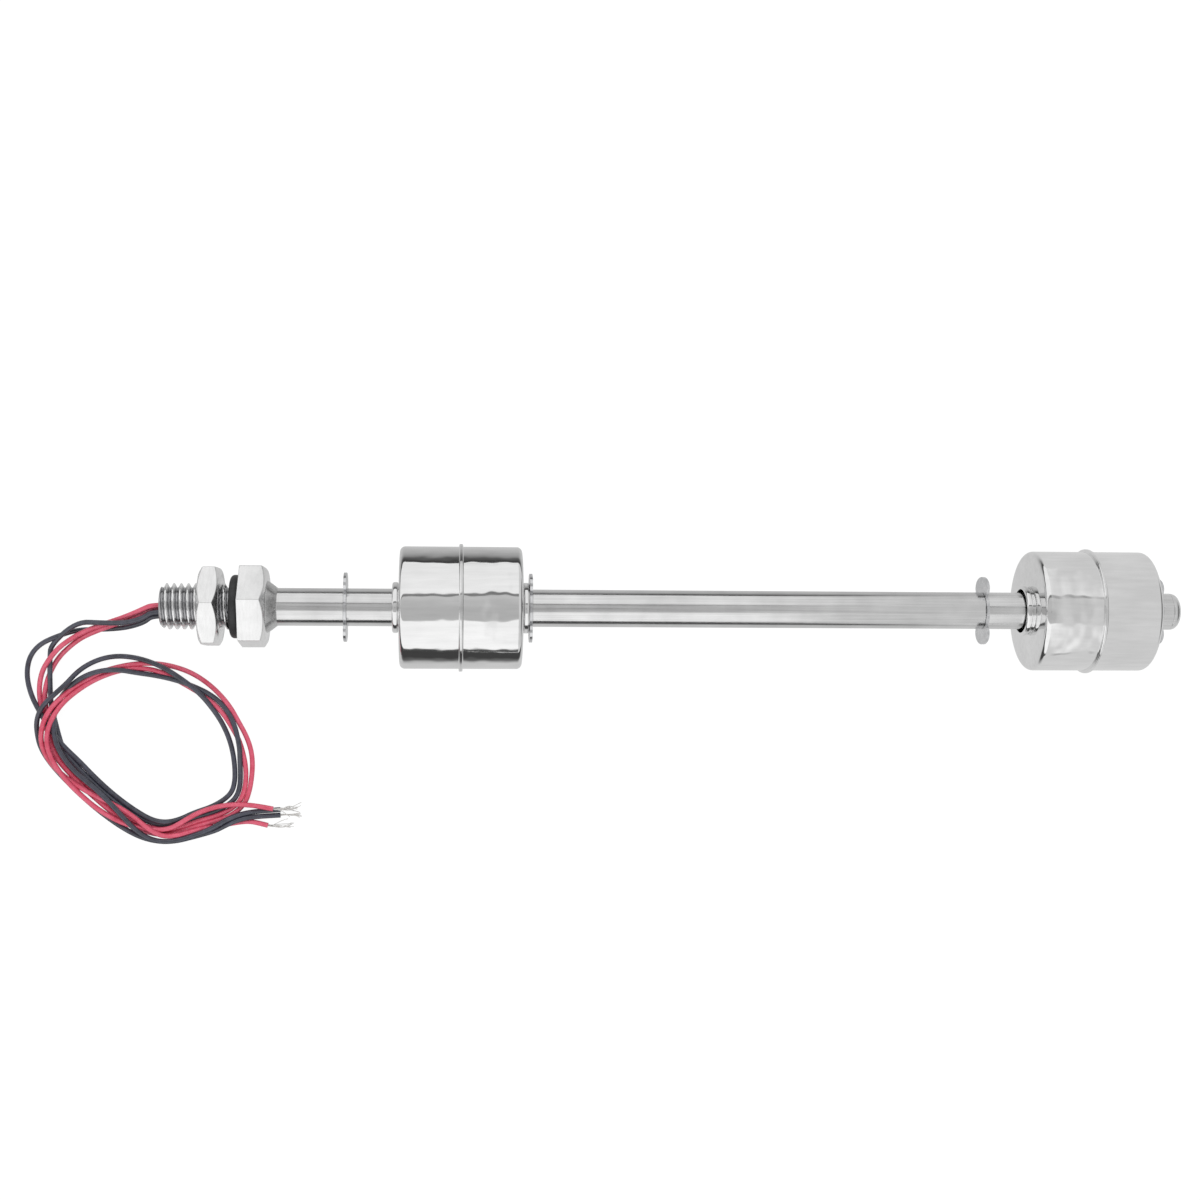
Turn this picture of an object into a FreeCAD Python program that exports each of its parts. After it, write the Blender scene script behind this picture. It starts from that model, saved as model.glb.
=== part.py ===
import FreeCAD, Part
import math
import os

# Dual-float level switch: a steel stem with a threaded head, two sliding floats and
# four flying leads. Millimetres. +X runs along the stem from the threaded head to the
# tip, +Z is up, and Z = 0 is the surface on which both floats and the leads rest.

# Threaded head
THREAD_DIAMETER = 9.75
STUD_LENGTH = 16.4
STUD_END_CHAMFER = 0.85
RELIEF_LENGTH = 1.5
RELIEF_DEPTH = 0.85
STUD_BORE = 6.0
HEX_ACROSS_FLATS = 16.0
HEX_LENGTH = 5.65
HEX_TURN = 20.0
HEX_FACE_SHARE = 0.95
CHAMFER_ANGLE = 30.0
BOSS_DIAMETER = 8.9
BOSS_LENGTH = 1.3
SOCKET_DEPTH = 4.0

# Lock nut and seal
NUT_THICKNESS = 4.35
NUT_TURN = 5.0
NUT_FROM_FACE = 3.97
NUT_ENTRY_CHAMFER = 0.45
SEAL_THICKNESS = 1.95
SEAL_OUTER_DIAMETER = 13.4
SEAL_EDGE_RADIUS = 0.8

# Stem
STEM_TAIL = 4.75
STEM_DIAMETER = 8.0
STEM_WALL = 0.6
GROOVE_DEPTH = 0.4
PLUG_CAP_LENGTH = 1.9
PLUG_CORNER_RADIUS = 1.6
PLUG_SPIGOT_LENGTH = 2.2

# Stop clips
CLIP_THICKNESS = 0.6
CLIP_DIAMETER = 14.7
CLIP_RING_WIDTH = 0.9
CLIP_MOUTH = 5.6
CLIP_EAR_WIDTH = 8.6
CLIP_EAR_DEPTH = 4.9

# Floats
FLOAT_DIAMETER = 26.0
FLOAT_LENGTH = 25.8
FLOAT_CORNER_RADIUS = 1.1
SHELL_WALL = 0.3
RIM_DIAMETER = 27.2
RIM_WIDTH = 0.8
SLEEVE_BORE = 9.5
SLEEVE_WALL = 0.3
COLLAR_DIAMETER = 10.8
COLLAR_LENGTH = 1.6
COLLAR_ROUND = 0.2
UPPER_FLOAT_START = 33.4
UPPER_FLOAT_TRAVEL = 9.5
LOWER_FLOAT_START = 169.9
LOWER_FLOAT_TRAVEL = 8.05
UPPER_FLOAT_DROP = 0.0
LOWER_FLOAT_DROP = 1.1

# Float magnet and its holder
MAGNET_DIAMETER = 15.4
MAGNET_LENGTH = 3.7
HOLDER_WALL = 0.7
HOLDER_FLANGE_DIAMETER = 16.8
HOLDER_FLANGE_THICKNESS = 0.8

# Reed switches and their board
BOARD_WIDTH = 5.0
BOARD_THICKNESS = 0.8
BOARD_DROP = 1.4
BOARD_TAIL = 6.0
UPPER_WIRE_SPACING = 1.7
LOWER_WIRE_SPACING = 3.5
REED_DIAMETER = 2.2
REED_LENGTH = 14.0
REED_WALL = 0.25
REED_WIRE_DIAMETER = 0.5
REED_WIRE_OVERHANG = 3.0
BLADE_WIDTH = 0.9
BLADE_THICKNESS = 0.16
BLADE_LAP = 1.0
WIRE_DIAMETER = 0.8
POTTING_LENGTH = 12.5
POTTING_RECESS = 0.4

# Leads
LEAD_DIAMETER = 0.93
LEAD_FIRST_RUN = 3.7
ROUTE_DIAMETER = 1.0
STRAND_BUNDLE_DIAMETER = 0.65
ARC_SHARE = 0.45

# Clearances
NUT_CLEARANCE = 0.05
GROOVE_CLEARANCE = 0.05
CLIP_SEAT_CLEARANCE = 0.02
SOLDER_CLEARANCE = 0.03
SLEEVE_CLEARANCE = 0.02
HOLDER_CLEARANCE = 0.05
MAGNET_CLEARANCE = 0.05
GLASS_CLEARANCE = 0.02
SEAL_CLEARANCE = 0.05
STOP_CLEARANCE = 0.05
FLOOR_CLEARANCE = 0.01
CUT_MARGIN = 1.0

# Places that follow from the sizes
AXIS_Z = RIM_DIAMETER / 2
CLIP_BEYOND_FLOAT = COLLAR_LENGTH + STOP_CLEARANCE + CLIP_THICKNESS / 2
STEM_LENGTH = LOWER_FLOAT_START + FLOAT_LENGTH + LOWER_FLOAT_DROP + CLIP_BEYOND_FLOAT + STEM_TAIL
FACE_X = -(STEM_LENGTH - STUD_LENGTH) / 2
STUD_END_X = FACE_X - STUD_LENGTH
TIP_X = FACE_X + STEM_LENGTH
POTTING_FACE_X = STUD_END_X + POTTING_RECESS
POTTING_END_X = POTTING_FACE_X + POTTING_LENGTH
SOCKET_FLOOR_X = FACE_X + HEX_LENGTH + BOSS_LENGTH - SOCKET_DEPTH
TUBE_END_X = TIP_X - PLUG_CAP_LENGTH
AXIS = FreeCAD.Vector(1, 0, 0)
CENTRE = FreeCAD.Vector(0, 0, AXIS_Z)

# Lead routes: hand-chosen points for a lead of ROUTE_DIAMETER, each with its distance out from the
# potting face, its Y, and its height. An exit is (Y, height) from the stem axis. Heights of a drop
# are shares of the axis height; on the floor they count lead diameters up to the lead's middle.
RED_LEAD_1_EXIT = (-0.4, 0.2)
RED_LEAD_1_DROP = [
    (9, -2.5, 0.79), (14.8, -4.3, 0.56), (20.5, -6.4, 0.33),
]
RED_LEAD_1_FLOOR = [
    (25.8, -9.4, 1.89), (29.3, -13.9, 1.7), (30.8, -19.3, 0.5), (30.3, -24.7, 0.5), (29.1, -30.1, 0.5),
    (27.2, -37.2, 0.5), (22.7, -40.9, 0.5), (18.3, -45.3, 0.5), (13.6, -49.2, 0.5), (8.5, -52.6, 0.5),
    (4.3, -54.4, 0.5), (-0.6, -54.4, 0.5), (-5.4, -52.1, 0.5), (-11.1, -50.9, 0.5), (-16.3, -47.8, 0.5),
    (-17.8, -42.9, 0.5), (-18, -37, 0.5), (-16.7, -31.1, 0.5), (-13.9, -25.4, 0.5), (-9.8, -20.3, 0.5),
    (-4.5, -16.4, 0.5), (1.8, -14, 0.5), (8.2, -13.5, 0.5), (13.5, -14.4, 0.5), (17.4, -15.9, 0.5),
    (20.6, -17.7, 0.7), (23.6, -19.7, 1.7), (26.2, -21.8, 1.99), (28.2, -24.6, 2.7), (29.6, -27.8, 2.8),
    (29.8, -31.8, 2.5), (27.9, -37.7, 1.6), (23.3, -41.5, 1.6), (18.8, -46, 1.6), (14, -50, 1.6),
    (8.3, -52.5, 1.6), (4.2, -54.2, 1.6), (0, -54.4, 1.6), (-3.2, -53.3, 1.6), (-6.4, -52.1, 1.6),
    (-9.6, -50.6, 1.6), (-13.8, -49.9, 1.6), (-18, -50.7, 1.39), (-20, -51.4, 0.5), (-22, -51.6, 0.5),
]
RED_LEAD_1_STRANDS = [
    (-23.4, -51.7, 0.41), (-28.6, -50.5, 0.37),
]
RED_LEAD_2_EXIT = (-1.1, -1.1)
RED_LEAD_2_DROP = [
    (9.3, -3.4, 0.7), (15, -5.3, 0.51), (20.4, -7.4, 0.26),
]
RED_LEAD_2_FLOOR = [
    (25, -10.4, 1.7), (27.9, -14.8, 1.7), (28.7, -17.5, 1.5), (29.6, -20.5, 0.64), (29.2, -24.9, 0.5),
    (28, -30.1, 0.5), (26.4, -36.6, 0.5), (22, -40.1, 0.5), (17.6, -44.5, 0.5), (13, -48.4, 0.5),
    (7.9, -51.7, 0.5), (4.1, -53.3, 0.5), (-0.5, -53.3, 0.5), (-5.1, -51.1, 0.5), (-10.8, -49.8, 0.5),
    (-15.5, -47.1, 0.5), (-16.7, -42.7, 0.5), (-16.9, -37.2, 0.5), (-15.7, -31.6, 0.5),
    (-13, -26.1, 0.5), (-9.1, -21.2, 0.5), (-4, -17.4, 0.5), (2, -15.2, 0.5), (8.2, -14.7, 0.5),
    (13.1, -15.5, 0.5), (17, -17, 0.5), (20.1, -18.8, 0.7), (22.9, -20.8, 1.5), (25.4, -22.9, 1.89),
    (27.2, -25.4, 2.7), (28.5, -28.3, 2.8), (28.7, -32, 2.5), (27, -37.1, 1.6), (22.5, -40.8, 1.6),
    (18.1, -45.2, 1.6), (13.4, -49.1, 1.6), (7.8, -51.6, 1.6), (3.9, -52.4, 1.6), (0.2, -52.2, 2.39),
    (-3, -50.2, 2.8), (-6.2, -48.3, 1.99), (-10.1, -47.2, 1.6), (-14.7, -46.6, 1.62),
    (-18.4, -47, 1.45), (-21.1, -47.5, 0.59), (-23.2, -47.9, 0.5),
]
RED_LEAD_2_STRANDS = [
    (-24.6, -48, 0.41), (-28.8, -48.5, 0.37),
]
BLACK_LEAD_1_EXIT = (-0.4, 1.4)
BLACK_LEAD_1_DROP = [
    (8.8, -3.9, 0.88), (14.8, -3.9, 0.65), (21, -3.7, 0.38),
]
BLACK_LEAD_1_FLOOR = [
    (26.3, -5.8, 1.79), (28.4, -10, 0.5), (28.4, -15.6, 0.5), (28.3, -21.4, 0.5), (27.7, -26.8, 0.5),
    (26.5, -31.5, 0.5), (25.3, -35.9, 0.5), (21.4, -39.2, 0.5), (16.9, -43.7, 0.5), (12.4, -47.5, 0.5),
    (7.4, -50.8, 0.5), (3.9, -52.3, 0.5), (-0.4, -52.3, 0.5), (-4.7, -50.1, 0.5), (-10.4, -48.7, 0.5),
    (-14.6, -46.3, 0.5), (-15.7, -42.6, 0.5), (-15.8, -37.3, 0.5), (-14.7, -32, 0.5),
    (-12.1, -26.8, 0.5), (-8.4, -22.1, 0.5), (-3.5, -18.4, 0.5), (2.3, -16.3, 0.5), (6.8, -15.9, 0.79),
    (10.8, -15.5, 1.6), (15.3, -14.6, 1.74), (19.2, -15.6, 0.89), (22.2, -17.4, 0.5),
    (24.4, -19.8, 0.5), (25.9, -22.8, 0.61), (27, -26.2, 1.89), (27.6, -29.4, 2.77),
    (27.5, -32.7, 2.59), (25.9, -36.3, 1.64), (21.8, -40, 1.6), (17.4, -44.4, 1.6), (12.8, -48.2, 1.6),
    (7.2, -50.5, 1.6), (3.6, -51.3, 1.6), (-1.1, -50.9, 1.6), (-6.4, -49.4, 1.6), (-12.2, -48.2, 1.6),
    (-18.5, -48, 1.84), (-22.2, -47.9, 1.79), (-25.2, -47.5, 1.64),
]
BLACK_LEAD_1_STRANDS = [
    (-26.3, -47.5, 1.54), (-30.2, -47.4, 0.89),
]
BLACK_LEAD_2_EXIT = (-2.2, -0.1)
BLACK_LEAD_2_DROP = [
    (9.4, -5.2, 0.65), (15.6, -5.5, 0.37), (21.5, -5.6, 0.2),
]
BLACK_LEAD_2_FLOOR = [
    (27.1, -7.5, 2.59), (31.8, -10.6, 0.89), (33.8, -15.4, 0.5), (33.3, -20, 0.5), (31.7, -23.2, 0.88),
    (29.9, -25.9, 1.64), (28, -29.4, 1.64), (26, -32.6, 1.67), (23.9, -35.5, 1.34), (20.5, -38.7, 0.5),
    (16.3, -42.9, 0.5), (11.9, -46.7, 0.5), (6.9, -49.9, 0.5), (3.7, -51.3, 0.5), (-0.3, -51.3, 0.5),
    (-4.4, -49.1, 0.5), (-10.1, -47.6, 0.5), (-13.8, -45.6, 0.5), (-14.6, -42.4, 0.5),
    (-14.8, -37.5, 0.5), (-13.7, -32.5, 0.5), (-11.2, -27.4, 0.5), (-8.1, -23, 1.29),
    (-5.4, -19.6, 1.71), (-1.6, -16.6, 1.67), (2.5, -13.9, 1.67), (7, -12.2, 0.99), (13.1, -11.7, 0.5),
    (18.8, -13.4, 0.5), (22.9, -16.3, 0.7), (25.9, -19, 1.5), (28.8, -21.5, 1.79), (31.2, -23.1, 2.6),
    (32.4, -26.5, 1.6), (31.4, -30.3, 0.5), (30.1, -33.7, 0.5), (28.1, -37.8, 0.5), (23.5, -41.6, 0.5),
    (19, -46.1, 0.5), (14.2, -50.1, 0.5), (9, -53.5, 0.5), (4.5, -55.4, 0.5), (-0.7, -55.5, 0.5),
    (-5.1, -53.7, 0.7), (-9.2, -52.3, 1.79), (-12.6, -50.7, 2.8), (-16.5, -49.9, 2.59),
    (-20.8, -49.4, 1.6), (-25.1, -48.7, 1.19),
]
BLACK_LEAD_2_STRANDS = [
    (-26.3, -48.9, 0.99), (-30.4, -49.9, 0.5),
]
LEADS = {
    "red_lead_1": (RED_LEAD_1_EXIT, RED_LEAD_1_DROP, RED_LEAD_1_FLOOR, RED_LEAD_1_STRANDS),
    "red_lead_2": (RED_LEAD_2_EXIT, RED_LEAD_2_DROP, RED_LEAD_2_FLOOR, RED_LEAD_2_STRANDS),
    "black_lead_1": (BLACK_LEAD_1_EXIT, BLACK_LEAD_1_DROP, BLACK_LEAD_1_FLOOR, BLACK_LEAD_1_STRANDS),
    "black_lead_2": (BLACK_LEAD_2_EXIT, BLACK_LEAD_2_DROP, BLACK_LEAD_2_FLOOR, BLACK_LEAD_2_STRANDS),
}


def vec(x, y=0.0, z=0.0):
    """A point given from the stem axis: x along it, y and z across it."""
    return FreeCAD.Vector(x, y, AXIS_Z + z)


def station(distance):
    """X of a place on the stem, from its distance to the sealing face."""
    return FACE_X + distance


def polygon_face(points):
    """A flat face inside a closed outline of straight edges."""
    return Part.Face(Part.makePolygon(list(points) + [points[0]]))


def turned(profile):
    """A turned solid: a closed (x, radius) outline spun about the stem axis."""
    outline = [vec(x, 0, radius) for x, radius in profile]
    return polygon_face(outline).revolve(CENTRE, AXIS, 360)


def ring(x0, x1, inner_radius, outer_radius):
    """A plain round tube from x0 to x1."""
    return turned([(x0, inner_radius), (x1, inner_radius), (x1, outer_radius), (x0, outer_radius)])


def rod(x0, x1, radius, y=0.0, z=0.0):
    """A round bar along the stem, set off from its axis by y and z."""
    return Part.makeCylinder(radius, x1 - x0, vec(x0, y, z), AXIS)


def round_edges(solid, radius, wanted):
    """Fillet the edges that the test picks out."""
    edges = [edge for edge in solid.Edges if wanted(edge)]
    return solid.makeFillet(radius, edges)


def circle_edge_at(x, radius):
    """A test for the round edge of that radius at x."""
    def found(edge):
        curve = edge.Curve
        if not isinstance(curve, Part.Circle):
            return False
        return abs(curve.Radius - radius) < 1e-4 and abs(curve.Center.x - x) < 1e-4
    return found


def any_of(*tests):
    """A test that passes where one of the given tests does."""
    return lambda edge: any(test(edge) for test in tests)


def hexagon(x0, x1, across_flats, turn, chamfer_start, chamfer_end):
    """A hexagon bar along the stem, its corners turned down by cones at the chosen ends."""
    corner = across_flats / 2 / math.cos(math.radians(30))
    points = []
    for step in range(6):
        angle = math.radians(turn + 60 * step)
        points.append(vec(x0, corner * math.sin(angle), corner * math.cos(angle)))
    bar = polygon_face(points).extrude(FreeCAD.Vector(x1 - x0, 0, 0))
    face_radius = HEX_FACE_SHARE * across_flats / 2
    outer = corner + CUT_MARGIN
    depth = (outer - face_radius) * math.tan(math.radians(CHAMFER_ANGLE))
    envelope = [(x0, 0)]
    envelope += [(x0, face_radius), (x0 + depth, outer)] if chamfer_start else [(x0, outer)]
    envelope += [(x1 - depth, outer), (x1, face_radius)] if chamfer_end else [(x1, outer)]
    envelope.append((x1, 0))
    return bar.common(turned(envelope))


def mounting_fitting():
    """Threaded stud, hexagon and weld boss, bored through for the wires and the stem."""
    thread = THREAD_DIAMETER / 2
    relief = thread - RELIEF_DEPTH
    boss_end = FACE_X + HEX_LENGTH + BOSS_LENGTH
    stud = turned([
        (STUD_END_X, 0), (STUD_END_X, thread - STUD_END_CHAMFER), (STUD_END_X + STUD_END_CHAMFER, thread),
        (FACE_X - RELIEF_LENGTH, thread), (FACE_X - RELIEF_LENGTH + RELIEF_DEPTH / 2, relief), (FACE_X, relief),
        (FACE_X, BOSS_DIAMETER / 2), (boss_end, BOSS_DIAMETER / 2), (boss_end, 0)])
    head = hexagon(FACE_X, FACE_X + HEX_LENGTH, HEX_ACROSS_FLATS, HEX_TURN, False, True)
    socket = STEM_DIAMETER / 2 + SOLDER_CLEARANCE
    bore = turned([
        (STUD_END_X - CUT_MARGIN, 0), (STUD_END_X - CUT_MARGIN, STUD_BORE / 2), (SOCKET_FLOOR_X, STUD_BORE / 2),
        (SOCKET_FLOOR_X, socket), (boss_end + CUT_MARGIN, socket), (boss_end + CUT_MARGIN, 0)])
    return stud.fuse(head).cut(bore).removeSplitter()


def lock_nut():
    """Thin hexagon nut, chamfered on both faces, with countersunk thread entries."""
    x1 = FACE_X - NUT_FROM_FACE
    x0 = x1 - NUT_THICKNESS
    bore = THREAD_DIAMETER / 2 + NUT_CLEARANCE
    entry = bore + NUT_ENTRY_CHAMFER
    blank = hexagon(x0, x1, HEX_ACROSS_FLATS, NUT_TURN, True, True)
    tapped = turned([
        (x0 - CUT_MARGIN, 0), (x0 - CUT_MARGIN, entry), (x0, entry), (x0 + NUT_ENTRY_CHAMFER, bore),
        (x1 - NUT_ENTRY_CHAMFER, bore), (x1, entry), (x1 + CUT_MARGIN, entry),
        (x1 + CUT_MARGIN, 0)])
    return blank.cut(tapped)


def seal_ring():
    """Flat-faced rubber ring with a rounded rim, seated on the sealing face."""
    outer = SEAL_OUTER_DIAMETER / 2
    x0 = FACE_X - SEAL_THICKNESS
    flat = ring(x0, FACE_X, THREAD_DIAMETER / 2 + SEAL_CLEARANCE, outer)
    return round_edges(flat, SEAL_EDGE_RADIUS, any_of(circle_edge_at(x0, outer), circle_edge_at(FACE_X, outer)))


def clip_stations():
    """Distances from the sealing face to the middle of each stop clip, in order."""
    floats = (
        (UPPER_FLOAT_START, UPPER_FLOAT_TRAVEL, UPPER_FLOAT_DROP),
        (LOWER_FLOAT_START, LOWER_FLOAT_TRAVEL, LOWER_FLOAT_DROP))
    stations = []
    for start, travel, drop in floats:
        stations.append(start - travel - CLIP_BEYOND_FLOAT)
        stations.append(start + FLOAT_LENGTH + drop + CLIP_BEYOND_FLOAT)
    return stations


def stem_tube():
    """Drawn tube with a groove rolled in for each stop clip, which leaves a ridge inside."""
    outer = STEM_DIAMETER / 2
    inner = outer - STEM_WALL
    half = CLIP_THICKNESS / 2 + GROOVE_CLEARANCE
    outside = [(SOCKET_FLOOR_X, outer)]
    inside = [(SOCKET_FLOOR_X, inner)]
    for distance in clip_stations():
        x = station(distance)
        outside += [(x - half, outer), (x - half, outer - GROOVE_DEPTH)]
        outside += [(x + half, outer - GROOVE_DEPTH), (x + half, outer)]
        inside += [(x - half - GROOVE_DEPTH, inner), (x - half, inner - GROOVE_DEPTH)]
        inside += [(x + half, inner - GROOVE_DEPTH), (x + half + GROOVE_DEPTH, inner)]
    outside.append((TUBE_END_X, outer))
    inside.append((TUBE_END_X, inner))
    return turned(outside + inside[::-1])


def end_plug():
    """Welded tip: a rounded cap on the tube's end with a spigot inside it."""
    outer = STEM_DIAMETER / 2
    spigot = outer - STEM_WALL - SOLDER_CLEARANCE
    blank = turned([
        (TUBE_END_X - PLUG_SPIGOT_LENGTH, 0), (TUBE_END_X - PLUG_SPIGOT_LENGTH, spigot), (TUBE_END_X, spigot),
        (TUBE_END_X, outer), (TIP_X, outer), (TIP_X, 0)])
    return round_edges(blank, PLUG_CORNER_RADIUS, circle_edge_at(TIP_X, outer))


def stop_clip(distance):
    """Stamped clip that snaps into a groove from above: an open ring with a rounded ear on each side."""
    x0 = station(distance) - CLIP_THICKNESS / 2
    seat = STEM_DIAMETER / 2 - GROOVE_DEPTH + CLIP_SEAT_CLEARANCE
    outer = CLIP_DIAMETER / 2
    clip = ring(x0, x0 + CLIP_THICKNESS, seat, seat + CLIP_RING_WIDTH)
    middle = outer - CLIP_EAR_DEPTH / 2
    for side in (-1, 1):
        widest, tip, centre = vec(x0, side * middle, CLIP_EAR_WIDTH / 2), vec(x0, side * outer), vec(x0, side * middle)
        outline = Part.Wire(Part.Ellipse(widest, tip, centre).toShape())
        clip = clip.fuse(Part.Face(outline).extrude(FreeCAD.Vector(CLIP_THICKNESS, 0, 0)))
    mouth = Part.makeBox(CLIP_THICKNESS, CLIP_MOUTH, outer, vec(x0, -CLIP_MOUTH / 2, -outer))
    return clip.cut(rod(x0, x0 + CLIP_THICKNESS, seat)).cut(mouth).removeSplitter()


def float_shell(start, side):
    """One deep-drawn half of a float; side is -1 for the half nearer the head, +1 for the other."""
    middle = start + FLOAT_LENGTH / 2
    end = middle + side * FLOAT_LENGTH / 2
    outer = FLOAT_DIAMETER / 2
    rim = RIM_DIAMETER / 2
    bore = SLEEVE_BORE / 2 + SLEEVE_WALL + SLEEVE_CLEARANCE
    x_mid, x_end = station(middle), station(end)
    x_lip = x_mid + side * RIM_WIDTH / 2
    x_in = x_end - side * SHELL_WALL
    shell = turned([
        (x_mid, outer - SHELL_WALL), (x_mid, rim), (x_lip, rim), (x_lip, outer), (x_end, outer), (x_end, bore),
        (x_in, bore), (x_in, outer - SHELL_WALL)])
    shell = round_edges(shell, FLOAT_CORNER_RADIUS, circle_edge_at(x_end, outer))
    shell = round_edges(shell, FLOAT_CORNER_RADIUS - SHELL_WALL, circle_edge_at(x_in, outer - SHELL_WALL))
    return round_edges(shell, RIM_WIDTH / 4, circle_edge_at(x_lip, rim))


def float_sleeve(start):
    """Guide tube through a float, with a rolled collar that stops against the clips."""
    x0, x1 = station(start), station(start + FLOAT_LENGTH)
    bore = SLEEVE_BORE / 2
    tube = bore + SLEEVE_WALL
    collar = COLLAR_DIAMETER / 2
    sleeve = turned([
        (x0 - COLLAR_LENGTH, bore), (x0 - COLLAR_LENGTH, collar), (x0, collar), (x0, tube),
        (x1, tube), (x1, collar), (x1 + COLLAR_LENGTH, collar), (x1 + COLLAR_LENGTH, bore)])
    ends = [circle_edge_at(x, collar) for x in (x0 - COLLAR_LENGTH, x0, x1, x1 + COLLAR_LENGTH)]
    ends += [circle_edge_at(x, bore) for x in (x0 - COLLAR_LENGTH, x1 + COLLAR_LENGTH)]
    return round_edges(sleeve, COLLAR_ROUND, any_of(*ends))


def magnet_holder(start):
    """Moulded bobbin that fills the float from end to end and carries the magnet at mid-length."""
    x0 = station(start) + SHELL_WALL + HOLDER_CLEARANCE
    x1 = station(start + FLOAT_LENGTH) - SHELL_WALL - HOLDER_CLEARANCE
    middle = station(start + FLOAT_LENGTH / 2)
    bore = SLEEVE_BORE / 2 + SLEEVE_WALL + HOLDER_CLEARANCE
    body = bore + HOLDER_WALL
    flange = HOLDER_FLANGE_DIAMETER / 2
    near = MAGNET_LENGTH / 2 + MAGNET_CLEARANCE
    far = near + HOLDER_FLANGE_THICKNESS
    return turned([
        (x0, bore), (x1, bore), (x1, body), (middle + far, body), (middle + far, flange), (middle + near, flange),
        (middle + near, body), (middle - near, body), (middle - near, flange), (middle - far, flange),
        (middle - far, body), (x0, body)])


def ring_magnet(start):
    """Ferrite ring between the holder's flanges."""
    middle = station(start + FLOAT_LENGTH / 2)
    bore = SLEEVE_BORE / 2 + SLEEVE_WALL + HOLDER_CLEARANCE + HOLDER_WALL + MAGNET_CLEARANCE
    return ring(middle - MAGNET_LENGTH / 2, middle + MAGNET_LENGTH / 2, bore, MAGNET_DIAMETER / 2)


def board_top():
    """Height of the board's upper face from the stem axis."""
    return BOARD_THICKNESS - BOARD_DROP


def reed_middle(start, travel):
    """X of a reed's middle, where its float's magnet stops at full travel."""
    return station(start + FLOAT_LENGTH / 2 - travel)


def reed_board():
    """Strip of circuit board that carries both reeds, from the potting to past the lower one."""
    x1 = reed_middle(LOWER_FLOAT_START, LOWER_FLOAT_TRAVEL) + REED_LENGTH / 2 + REED_WIRE_OVERHANG + BOARD_TAIL
    return Part.makeBox(x1 - POTTING_END_X, BOARD_WIDTH, BOARD_THICKNESS,
                        vec(POTTING_END_X, -BOARD_WIDTH / 2, -BOARD_DROP))


def reed_glass(middle):
    """Sealed glass capsule of a reed switch, lying on the board."""
    x0, x1 = middle - REED_LENGTH / 2, middle + REED_LENGTH / 2
    outer = REED_DIAMETER / 2
    inner = outer - REED_WALL
    neck = REED_WIRE_DIAMETER / 2 + GLASS_CLEARANCE
    seal = 2 * outer
    capsule = turned([
        (x0, neck), (x0, outer / 2), (x0 + outer / 2, outer), (x1 - outer / 2, outer), (x1, outer / 2),
        (x1, neck), (x1 - seal, neck), (x1 - seal - inner / 2, inner), (x0 + seal + inner / 2, inner), (x0 + seal, neck)])
    capsule.translate(FreeCAD.Vector(0, 0, board_top() + outer))
    return capsule


def reed_blades(middle):
    """The two reeds of a switch: a round wire through each seal, flattened where they overlap."""
    lift = board_top() + REED_DIAMETER / 2
    root = REED_LENGTH / 2 - REED_DIAMETER - REED_WALL
    pair = []
    for side in (-1, 1):
        ends = sorted((middle + side * root, middle + side * (REED_LENGTH / 2 + REED_WIRE_OVERHANG)))
        wire = rod(ends[0], ends[1], REED_WIRE_DIAMETER / 2, 0, lift)
        ends = sorted((middle - side * BLADE_LAP / 2, middle + side * root))
        under = lift + side * BLADE_THICKNESS - BLADE_THICKNESS / 2
        blade = Part.makeBox(ends[1] - ends[0], BLADE_WIDTH, BLADE_THICKNESS, vec(ends[0], -BLADE_WIDTH / 2, under))
        pair.append(wire.fuse(blade))
    return Part.makeCompound(pair)


def inner_wires(middle, spacing):
    """Two insulated wires along the board from the potting to one reed."""
    end = middle - REED_LENGTH / 2 - REED_WIRE_OVERHANG
    radius = WIRE_DIAMETER / 2
    lift = board_top() + radius + GLASS_CLEARANCE
    return Part.makeCompound([rod(POTTING_END_X, end, radius, side * spacing / 2, lift) for side in (-1, 1)])


def potting_plug():
    """Epoxy that seals the stud's bore and holds the leads."""
    return rod(POTTING_FACE_X, POTTING_END_X, STUD_BORE / 2 - SOLDER_CLEARANCE)


def lead_route(way):
    """Route of one lead in the model's frame, scaled with its diameter."""
    (exit_y, exit_z), drop, floor = way[:3]
    scale = LEAD_DIAMETER / ROUTE_DIAMETER
    start = FreeCAD.Vector(POTTING_FACE_X, exit_y * scale, AXIS_Z + exit_z * scale)
    points = [start, start - AXIS * (LEAD_FIRST_RUN * scale)]
    for out, y, share in drop:
        points.append(FreeCAD.Vector(POTTING_FACE_X - out * scale, y * scale, share * AXIS_Z))
    return points + [floor_point(spot) for spot in floor]


def floor_point(spot):
    """A route point on or near the floor."""
    out, y, level = spot
    scale = LEAD_DIAMETER / ROUTE_DIAMETER
    return FreeCAD.Vector(POTTING_FACE_X - out * scale, y * scale, level * LEAD_DIAMETER + FLOOR_CLEARANCE)


def strand_route(way):
    """Route of the bared strands: on from the lead's cut end, then on to where they lie."""
    end, before = floor_point(way[2][-1]), floor_point(way[2][-2])
    reach = (floor_point(way[3][0]) - end).Length
    onward = end + (end - before).normalize() * reach
    return [end, onward, floor_point(way[3][1])]


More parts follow.
